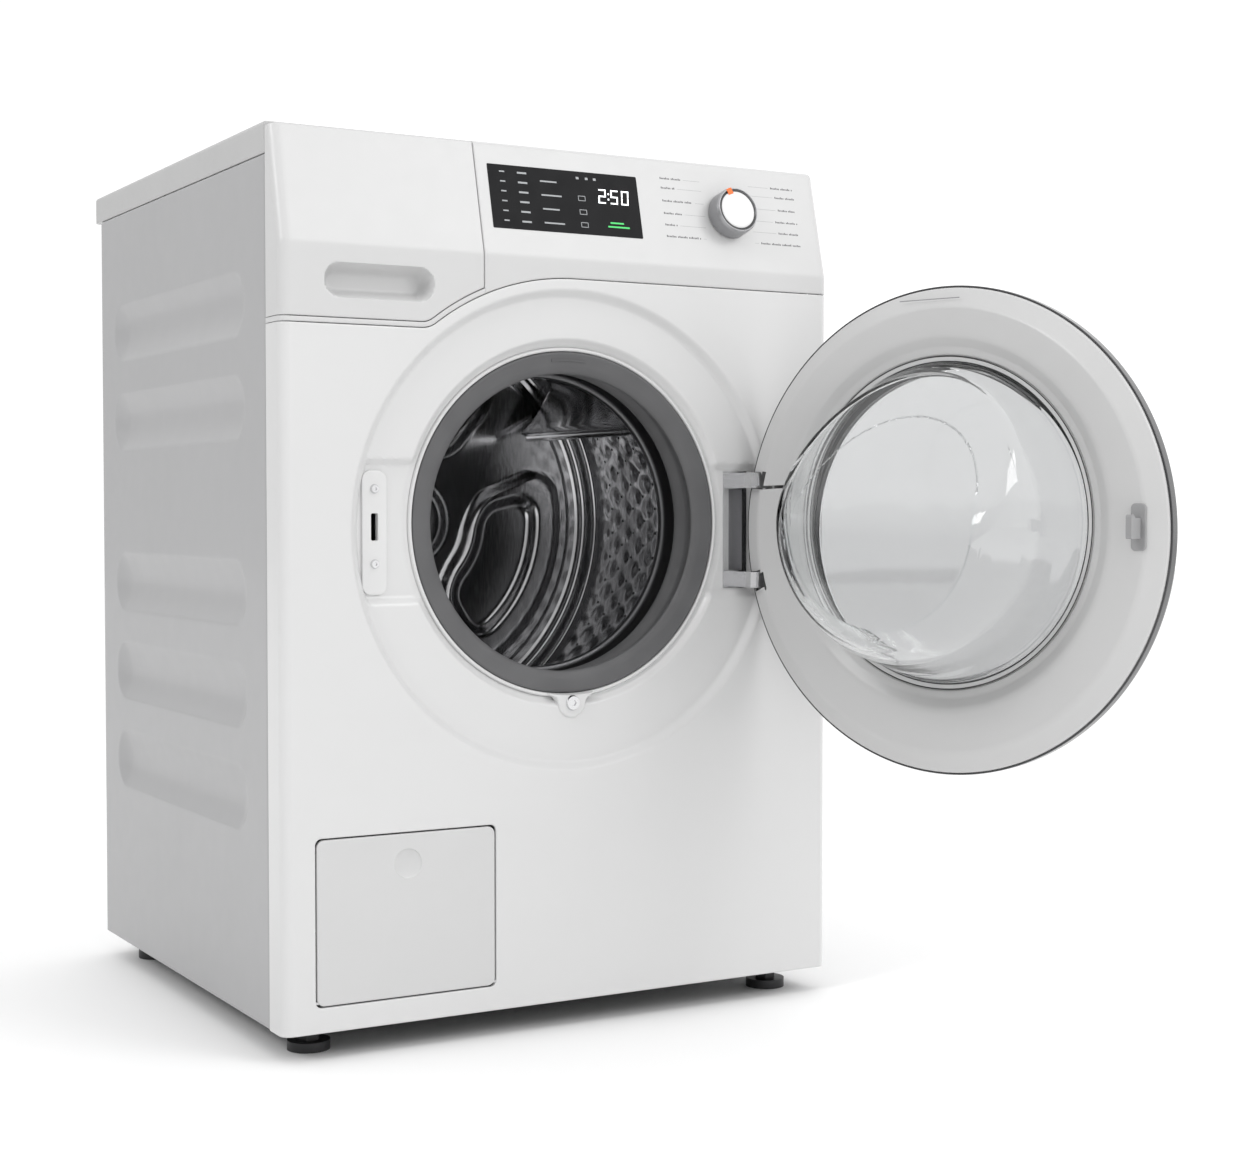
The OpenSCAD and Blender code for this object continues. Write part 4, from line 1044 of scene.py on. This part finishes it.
def door_ring():
    """The white inner ring: a flat annulus that dishes in towards the glass."""
    profile = [(OPENING_R, RIM_V + 1), (OPENING_R, -13.0), (OPENING_R + 5, -12.4),
               (OPENING_R + 8, -12), (OPENING_R + 17, FACE_V - 0.6), (OPENING_R + 21, FACE_V),
               (DOOR_R - 20, FACE_V), (DOOR_R - 17, FACE_V - 0.8), (DOOR_R - 1, FACE_V - 9),
               (DOOR_R, FACE_V - 11), (DOOR_R, RIM_V)]
    rows = []
    turn = full_turn(360)
    for r, v in rounded(profile, 2.2, 4):
        lift = (AXIS - RING_Z) * smooth((DOOR_R - 12 - r) / 40.0)
        rows.append([door_point(r * math.cos(a), v, RING_Z + lift + r * math.sin(a))
                     for a in turn])
    rows += lathe_rows([(OPENING_R, RIM_V + 0.1)], None, len(turn), door_point)
    rows.append(rows[0])
    piece = surface("door_ring", rows, DOOR_PLASTIC, "door", closed=True,
                    keep=clear_of_arms)
    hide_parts("door_frame")


def arm_pockets():
    """The walls of the slots that the hinge arms swing in."""
    half = ARM_SLOT_HALF
    outline = [(ARM_SLOT_X, FACE_V - 0.2), (ARM_SLOT_X, RIM_V), (DOOR_R - 6, RIM_V),
               (DOOR_R - 6, FACE_V - 4)]
    bm = bmesh.new()
    for z in ARM_Z:
        for dz in (-half, half):
            bm.faces.new([bm.verts.new(door_point(x, v, z + dz)) for x, v in outline])
        add_rows(bm, [[door_point(x, v, z + dz) for x, v in outline[:3]] for dz in (-half, half)])
    finish_mesh("door_arm_pockets", bm, CLAMP_PLASTIC, "door")


def door_seal():
    """A grey seal around the glass, between two thin dark lips."""
    seal = rounded([(150.5, -15.4), (152, -13.2), (156.4, -12.6), (156.9, -15.4)], 0.8, 3)
    lathe("door_seal", seal, CLAMP_PLASTIC, "door", put=door_point)
    for name, r, v in (("inner", 151.4, -13.6), ("outer", 156.2, -12.6)):
        lip = [(r + 0.5 * math.cos(a), v + 0.5 * math.sin(a)) for a in full_turn(8)]
        lathe(f"door_seal_lip_{name}", lip, BLACK_RUBBER, "door",
              put=door_point)


def door_top_line_painted_shade():
    """A fine moulded line near the top of the ring, drawn as a grey ink bar: painted shade."""
    bm = bmesh.new()
    bar(bm, lambda x, z, height: door_point(x, FACE_V + height, z), -22, 43, 696.5, 697.5)
    finish_mesh("door_top_line_painted_shade", bm, INK_LIGHT, "door")


def door_rim():
    """The graphite outer rim, with a bead around the window."""
    r = DOOR_R + 2
    rim = rounded([(148, RIM_V - 0.2), (DOOR_R + 0.3, RIM_V - 0.2), (DOOR_R + 0.3, RIM_V + 4),
                   (r, RIM_V + 3.5), (r, RIM_V - 6.5), (r - 2.5, RIM_V - 11),
                   (r - 14, RIM_V - 14), (176, RIM_V - 14), (168, RIM_V - 12.6),
                   (160, RIM_V - 13.8), (153, RIM_V - 13.8), (148, RIM_V - 9.5)], 1.6, 4)
    piece = lathe("door_outer_rim", rim, GRAPHITE, "door", RING_Z, 256,
                  door_point)
    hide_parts("door_rim")


def door_window():
    """The domed outer window."""
    edge = RIM_V - 9
    dome = [(0.02, edge - 12), (35, edge - 11.5), (70, edge - 9.8), (105, edge - 6.8),
            (130, edge - 3.2), (147.6, edge), (147.6, edge + 3), (129, edge - 0.2),
            (104, edge - 3.8), (70, edge - 6.8), (35, edge - 8.5), (0.02, edge - 9)]
    piece = lathe("door_outer_window", dome, WINDOW_GLASS, "door", RING_Z,
                  160, door_point, loop=False)
    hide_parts("door_window")


BOWL_END = 100.0
BOWL_PROFILE = [(151.5, RIM_V + 1), (151.5, RIM_V + 4), (150.2, -13), (148.6, -4), (142, 12),
                (136, 40), (130, 62), (123, 80), (114, 94), (104, BOWL_END), (0.02, BOWL_END)]
SLANT = math.radians(33.3)
SLANT_OFF = 86.3


def bowl():
    """The pressed glass bowl, its upper part cut back to a slant and blended in."""
    profile = rounded(BOWL_PROFILE, 9.0, 6)
    reach = []
    for (r0, v0), (r1, v1) in zip(profile, profile[1:]):
        count = max(1, int(math.hypot(r1 - r0, v1 - v0) / 4))
        reach += [(r0 + (r1 - r0) * i / count, v0 + (v1 - v0) * i / count)
                  for i in range(count)]
    reach.append(tuple(profile[-1]))
    turn = full_turn(180)

    def skin(inset):
        rows = []
        for r, v in reach:
            r = max(0.02, r - (inset if r > 100 else 0))
            v = v - (inset if v > 60 else 0)
            row = []
            for a in turn:
                up = r * math.sin(a)
                limit = (SLANT_OFF - inset - up * math.sin(SLANT)) / math.cos(SLANT)
                deep = soft_min(v, max(limit, RIM_V + 4), 14.0) if v > 0 else v
                row.append(door_point(r * math.cos(a), deep, AXIS + up))
            rows.append(row)
        return rows

    outer = skin(0.0)
    inner = skin(4.0)
    flange = lathe_rows([(162, RIM_V + 4.5), (162, RIM_V + 0.5), (148.5, RIM_V + 0.5)],
                        None, 180, door_point)
    bm = bmesh.new()
    add_rows(bm, inner[::-1] + flange[::-1] + outer, closed=True)
    piece = finish_mesh("door_glass_bowl", bm, BOWL_GLASS, "door", 60)
    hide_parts("door_bowl")


# ---------- gasket and drum ----------


def gasket():
    """The rubber bellows from the front panel to the tub."""
    outer = [(165, 14.5), (164.6, 12.8), (163, 12.2), (150, 14.6), (145.5, 16.6),
             (143.6, 18.6), (143.8, 21), (146, 22.6), (149, 26), (152, 33), (155, 41),
             (155, 47), (150, 52), (147, 57), (149, 61), (155, 64), (166.6, 64.5),
             (166.8, 56), (160, 54), (158, 46), (159, 36), (157, 28), (164, 23)]
    piece = lathe("gasket_bellows", rounded(outer, 2.4, 4), GASKET, None,
                  segments=240)
    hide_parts("door_gasket")
    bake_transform(piece)
    # raised bar at the top of the lip
    bm = bmesh.new()

    def on_lip(x, y, height):
        angle = math.pi / 2 - x / 157.0
        r = 157.0 + y
        v = 12.2 + (163 - r) * 0.185 - height
        return place(r * math.cos(angle), v, AXIS + r * math.sin(angle))

    for i in range(12):
        x = -18 + i * 3.0
        bar(bm, on_lip, x, x + 3.0, -1.2, 1.2, 0.7)
    finish_mesh("gasket_top_mark", bm, GASKET, "cabinet")


def gasket_clamp():
    """The white ring that holds the gasket, and its screw tab."""
    ring = rounded([(165.3, 21), (165.3, 13.2), (166.6, 11.6), (168.2, 11.8), (169.2, 13.4),
                    (169.2, 21)], 1.4, 4)
    rows = lathe_rows(ring, segments=240)
    bm = bmesh.new()
    add_rows(bm, rows, closed=True)
    centre_z = AXIS - 174.0
    outline = []
    for i in range(25):
        a = math.radians(200 + 140 * i / 24)
        outline.append((15 * math.cos(a), centre_z + 15 * math.sin(a)))
    for x, z in ((16.0, 2.5), (19.0, 6.0), (24.5, 8.6)):
        outline.append((x, centre_z + z))
    for i in range(9):
        a = -math.pi / 2 + math.asin(24.0 / 166.0) * (1 - i / 4)
        outline.append((166.0 * math.cos(a), AXIS + 166.0 * math.sin(a)))
    for x, z in ((-24.5, 8.6), (-19.0, 6.0), (-16.0, 2.5)):
        outline.append((x, centre_z + z))
    middle = Vector((0, centre_z + 4, 0))
    rows = []
    for shrink, v in ((0.0, 12.5), (0.0, 7.4), (0.03, 5.9), (0.09, 4.9), (0.17, 4.5)):
        rows.append([place(x + (middle.x - x) * shrink, v, z + (middle.y - z) * shrink)
                     for x, z in outline])
    grid = add_rows(bm, rows, closed=True)
    bm.faces.new(grid[-1])
    piece = finish_mesh("clamp_ring", bm, CLAMP_PLASTIC, "cabinet")
    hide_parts("gasket_clamp")


LIFTER_ANGLES = [math.radians(a) for a in (36, 156, 276)]
HOLE_R = 1.7                          # the drum's drain holes, drawn as black discs of painted shade
HOLE_DEPTH = 1.75


def drum_shell():
    """The drum's wall, pressed into large honeycomb pillows, with a drain hole in every other corner
    drawn as a black disc of painted shade.
    """
    v0 = low("drum_shell").y - FRONT
    v1 = high("drum_shell").y - FRONT
    count = 54
    cell = 2 * math.pi * DRUM_R / count
    pitch = cell * math.sqrt(3) / 2

    def pillow(along, v):
        """Distance-based relief of the nearest cell, 1 in its middle and 0 at its edge."""
        nearest = 1e9
        row = round((v - v0) / pitch)
        for k in (row - 1, row, row + 1):
            shift = 0.5 * cell if k % 2 else 0.0
            centre = round((along - shift) / cell) * cell + shift
            for extra in (-cell, 0, cell):
                nearest = min(nearest, math.hypot(along - centre - extra,
                                                  (v - v0) - k * pitch))
        return smooth(1 - nearest / (cell * 0.52))

    columns = 648
    v_steps = spread_range(v0 + 0.5, v1, 100)
    rows = []
    for v in v_steps:
        ends = smooth((v - v0 - 8) / 12) * smooth((v1 - 20 - v) / 12)
        row = []
        for a in full_turn(columns):
            r = DRUM_R - 1.3 - 2.0 * ends * pillow(a * DRUM_R, v)
            row.append(place(r * math.cos(a), v, AXIS + r * math.sin(a)))
        rows.append(row)
    outside = lathe_rows([(DRUM_R, v1), (DRUM_R, v0)], segments=columns)
    piece = surface("drum_wall", rows + outside + [rows[0]], DRUM_STEEL, "drum",
                    closed=True)
    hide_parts("drum_shell")

    # the drain holes, one in every other corner between the pillows, drawn as black discs: painted shade
    # where the wall has no opening
    bm = bmesh.new()
    for k in range(1, int((v1 - v0 - 24) / pitch)):
        v = v0 + (k + 1 / 3) * pitch
        for i in range(count):
            along = (i + (0.5 if k % 2 == 0 else 0.0)) * cell
            a = along / DRUM_R
            if any(abs(math.remainder(a - lifter, 2 * math.pi)) < 0.16
                   for lifter in LIFTER_ANGLES):
                continue
            hole = []
            for b in full_turn(8):
                turned = a + HOLE_R * math.cos(b) / DRUM_R
                r = DRUM_R - HOLE_DEPTH
                hole.append(place(r * math.cos(turned), v + HOLE_R * math.sin(b),
                                  AXIS + r * math.sin(turned)))
            bm.faces.new([bm.verts.new(p) for p in hole])
    finish_mesh("drum_wall_holes_painted_shade", bm, BLACK_PLASTIC, "drum")


def sector_distance(r, a, r0, r1, half, middle, corner):
    """How far inside a ring sector with rounded corners a point lies, in millimetres."""
    away = abs(math.remainder(a - middle, 2 * math.pi))
    out = abs(r - (r0 + r1) / 2) - (r1 - r0) / 2 + corner
    along = (away - half) * r + corner
    return corner - math.hypot(max(0.0, out), max(0.0, along)) - min(0.0, max(out, along))


def drum_back():
    """The back plate: three nested kidney pressings between three raised arms."""
    plate_v = low("drum_back").y - FRONT + 5.5
    outer_r = DRUM_R - 2.0

    def relief(r, a):
        height = 0.0
        for arm in LIFTER_ANGLES:
            middle = arm - math.pi / 3
            outside = sector_distance(r, a, 66, 198, math.radians(46), middle, 44)
            inside = sector_distance(r, a, 84, 166, math.radians(37), middle, 32)
            height += 7.0 * smooth(outside / 16) - 9.0 * smooth(inside / 14)
        height += 6.0 * smooth((52 - r) / 14)
        height -= 4.0 * smooth((r - 205) / 10) * smooth((222 - r) / 8)
        return height

    radii = refine([(0.5, 4), (60, 3), (outer_r - 16, 2.2), (outer_r, 2.2)])
    rows = []
    columns = 288
    turn = full_turn(columns)
    for r in radii:
        curve = 12.0 * smooth((r - (outer_r - 16)) / 16) ** 2
        rows.append([place(r * math.cos(a), plate_v - relief(r, a) - curve,
                           AXIS + r * math.sin(a)) for a in turn])
    back_v = high("drum_back").y - FRONT
    rows += lathe_rows([(outer_r, back_v), (0.5, back_v)], segments=columns)
    piece = surface("drum_back_plate", rows, PLATE_STEEL, "drum", closed=True)
    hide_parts("drum_back")


def drum_front():
    """The front ring, rolled around the drum's mouth."""
    box_low = low("drum_front").y - FRONT
    box_high = high("drum_front").y - FRONT
    mouth = 143.0
    profile = [(mouth + 1.5, box_low + 9), (mouth, box_low + 5), (mouth + 1, box_low + 1),
               (mouth + 5, box_low), (mouth + 12, box_low + 2.5), (mouth + 30, box_low + 3.5),
               (DRUM_R - 24, box_high - 8), (DRUM_R - 1, box_high - 2), (DRUM_R - 0.5, box_high),
               (DRUM_R - 3, box_high), (DRUM_R - 26, box_high - 5.5),
               (mouth + 30, box_low + 6), (mouth + 10, box_low + 5.5)]
    # the ring is made in the dark ring steel, which paints shade over the drum's mouth
    piece = lathe("drum_front_ring", rounded(profile, 1.6, 3), RING_STEEL_PAINTED_SHADE, "drum")
    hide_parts("drum_front")


def lifters():
    """Three hollow fins with a beaded crest, drawn down at both ends."""
    v0 = low("drum_lifters").y - FRONT
    v1 = high("drum_lifters").y - FRONT
    foot_r = DRUM_R - 3.4
    bm = bmesh.new()
    crest = [(0.0, 0.965), (2.0, 0.968), (3.4, 0.99), (4.6, 1.0), (6.0, 0.985)]
    flank = []
    for i in range(1, 11):
        t = i / 10
        flank.append((6.0 + 27.0 * t ** 1.5, 0.985 * (1 - t) ** 0.9 * (1 - 0.25 * t)))
    half = crest + flank
    section = [(-side, rise) for side, rise in reversed(half[1:])] + half
    for arm in LIFTER_ANGLES:
        out = Vector((math.cos(arm), 0, math.sin(arm)))
        across = Vector((-math.sin(arm), 0, math.cos(arm)))
        rows = []
        for v in refine([(v0, 4), (v0 + 30, 16), (v1 - 30, 4), (v1, 4)]):
            front = v - v0
            back = v1 - v
            tall = 76.0 * min(smooth(front / 16 + 0.3), smooth(back / 34 + 0.16)) ** 0.6
            narrow = 0.55 + 0.45 * smooth(min(front, back) / 26)
            row = []
            for side, rise in section:
                r = foot_r - tall * rise
                row.append(place(0, v, AXIS) + (out * r + across * side * narrow) * MM)
            rows.append(row)
        grid = add_rows(bm, rows)
        bm.faces.new(grid[0])
        bm.faces.new(grid[-1])
    piece = finish_mesh("drum_fins", bm, FIN_STEEL, "drum", 50)
    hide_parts("drum_lifters")


# ---------- soft and sprung pieces that cross from the cabinet to the tub ----------


def suspension():
    """Wire springs, wound narrower at both ends, stretching between the rails and the tub's ears."""
    bottom = low("suspension_springs").z
    top = high("suspension_springs").z
    x = high("suspension_springs").x - 10
    coils = 20
    for side in (-1, 1):
        for v in (190, 330):
            path = []
            for i in range(coils * 16 + 1):
                a = 2 * math.pi * i / 16
                t = i / (coils * 16)
                tight = 0.35 + 0.65 * smooth(t / 0.06) * smooth((1 - t) / 0.06)
                path.append(place(side * x + 8 * tight * math.cos(a),
                                  v + 8 * tight * math.sin(a),
                                  bottom + 2 + (top - bottom - 4) * t))
            name = f"spring_{'left' if side < 0 else 'right'}_{v}"
            piece = tube(name, path, 1.6, BRIGHT_STEEL, None, 8)
            if (side, v) == (-1, 190):
                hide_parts("suspension_springs")
            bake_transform(piece)


def bellows(name, node, x, v, z0, z1, bore, folds):
    """A folded hose about an upright axis."""
    outer = [(bore, z0), (bore + 3, z0), (bore + 3, z0 + 12)]
    inner = [(bore, z0 + 12)]
    step = (z1 - z0 - 24) / folds
    for i in range(folds):
        z = z0 + 12 + step * (i + 0.5)
        outer += [(bore + 7, z), (bore + 3, z + step / 2)]
        inner += [(bore + 5, z), (bore + 1, z + step / 2)]
    outer += [(bore + 3, z1), (bore, z1)]
    profile = rounded([*outer, *reversed(inner)], 1.4, 3)
    turn = full_turn(64)
    rows = [[place(x + r * math.cos(a), v + r * math.sin(a), z) for a in turn]
            for r, z in profile]
    rows.append(rows[0])
    piece = surface(name, rows, BLACK_RUBBER, None, closed=True)
    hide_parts(node)
    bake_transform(piece)


def tub_hoses():
    """The two folded hoses, from the tub to the pump and from the dispenser to the tub."""
    sump = (low("sump_hose") + high("sump_hose")) / 2
    bellows("sump_bellows", "sump_hose", sump.x, sump.y - FRONT, low("sump_hose").z,
            high("sump_hose").z, 17.4, 5)
    fill = (low("dispenser_hose") + high("dispenser_hose")) / 2
    bellows("dispenser_bellows", "dispenser_hose", fill.x, fill.y - FRONT,
            low("dispenser_hose").z, high("dispenser_hose").z, 17.4, 3)


# ---------- materials for the CAD nodes that stay ----------

KEPT = [
    (REAR_ENAMEL, "rear_panel rear_access_cover"),
    (BASE_PLASTIC, "base_tray drain_pipe damper_cylinders"),
    (BRIGHT_STEEL, "cross_rails front_screws hinge_bracket bearing_front bearing_rear heater "
     "damper_rods drum_shaft motor_pulley hinge_pin"),
    (DISPLAY_BLACK, "display_window"),
    (BOARD_GREEN, "control_board"),
    (TRAY_PLASTIC, "dispenser_housing drawer_tray"),
    (TUB_PLASTIC, "inlet_valve drain_pump tub_front tub_rear"),
    (BLACK_RUBBER, "water_hose drive_belt"),
    (BLACK_PLASTIC, "door_lock mains_terminal foot_front_left foot_front_right foot_rear_left "
     "foot_rear_right"),
    (CAST_WEIGHT, "front_counterweight top_counterweight"),
    (CAST_ALLOY, "motor drum_spider drum_pulley"),
    (FILTER_PLASTIC, "pump_filter"),
]


def finish_cad_nodes():
    for material, names in KEPT:
        for name in names.split():
            node = nodes[name]
            node.data.materials.clear()
            node.data.materials.append(material)
            bevel = node.modifiers.new("soft_edges", "BEVEL")
            bevel.width = 0.4 * MM
            bevel.segments = 2
            bevel.limit_method = "ANGLE"
            bevel.angle_limit = math.radians(40)
            bevel.use_clamp_overlap = True


# ---------- camera, floor and light ----------


def camera():
    """Looks at the machine from the left, a little above the middle of its height."""
    data = bpy.data.cameras.new("camera")
    data.sensor_width = 36.0
    data.lens = 59.33
    data.clip_end = 60
    eye = bpy.data.objects.new("camera", data)
    eye.location = place(-956.4, -1745.3, 498.7)
    eye.rotation_euler = (math.radians(90 - 1.99), 0, math.radians(-30.17))
    scene.collection.objects.link(eye)
    scene.camera = eye


def area_light(name, location, target, size, power):
    data = bpy.data.lights.new(name, "AREA")
    data.shape = "RECTANGLE"
    data.size, data.size_y = size
    data.energy = power
    light = bpy.data.objects.new(name, data)
    light.location = location
    aim = Vector(target) - Vector(location)
    light.rotation_euler = aim.to_track_quat("-Z", "Y").to_euler()
    scene.collection.objects.link(light)


def studio():
    floor = bpy.data.meshes.new("floor")
    size = 12.0
    floor.from_pydata([(-size, -size, 0), (size, -size, 0), (size, size, 0), (-size, size, 0)],
                      [], [(0, 1, 2, 3)])
    floor_object = bpy.data.objects.new("floor", floor)
    scene.collection.objects.link(floor_object)
    m = Material("floor_paint", (0.9, 0.9, 0.9), 0.7)
    m.vary_color(m.noise(3.0), 0.004)
    floor.materials.append(m.material)

    # a white room, brighter overhead, that falls off towards the left of the machine
    world = bpy.data.worlds.new("studio")
    world.use_nodes = True
    tree = world.node_tree
    background = tree.nodes["Background"]
    background.inputs["Strength"].default_value = 1.28
    direction = tree.nodes.new("ShaderNodeTexCoord")
    split = tree.nodes.new("ShaderNodeSeparateXYZ")
    fall = map_range(tree, -1.0, 0.6, 0.12, 1.0)
    rise = map_range(tree, 0.1, 0.9, 0.0, 1.0)
    tree.links.new(direction.outputs["Generated"], split.inputs["Vector"])
    tree.links.new(split.outputs["X"], fall.inputs["Value"])
    tree.links.new(split.outputs["Z"], rise.inputs["Value"])
    tree.links.new(fall.outputs["Result"], rise.inputs["To Min"])
    tree.links.new(rise.outputs["Result"], background.inputs["Color"])
    scene.world = world
    scene.view_settings.view_transform = "Standard"

    area_light("key", (1.4, -2.6, 2.4), (0, 0, 0.45), (1.4, 1.4), 22)
    area_light("side_key", (-3.2, -1.0, 2.6), (-0.3, 0, 0.4), (1.0, 1.0), 34)


side_panel(-1)
side_panel(1)
front_panel()
control_fascia()
drawer_front()
lock_plate()
service_flap()
top_lid()
display()
dial()
programme_marks()
door_ring()
arm_pockets()
door_seal()
door_top_line_painted_shade()
door_rim()
door_window()
bowl()
door_catch()
gasket()
gasket_clamp()
drum_shell()
drum_back()
drum_front()
lifters()
suspension()
tub_hoses()
finish_cad_nodes()
camera()
studio()
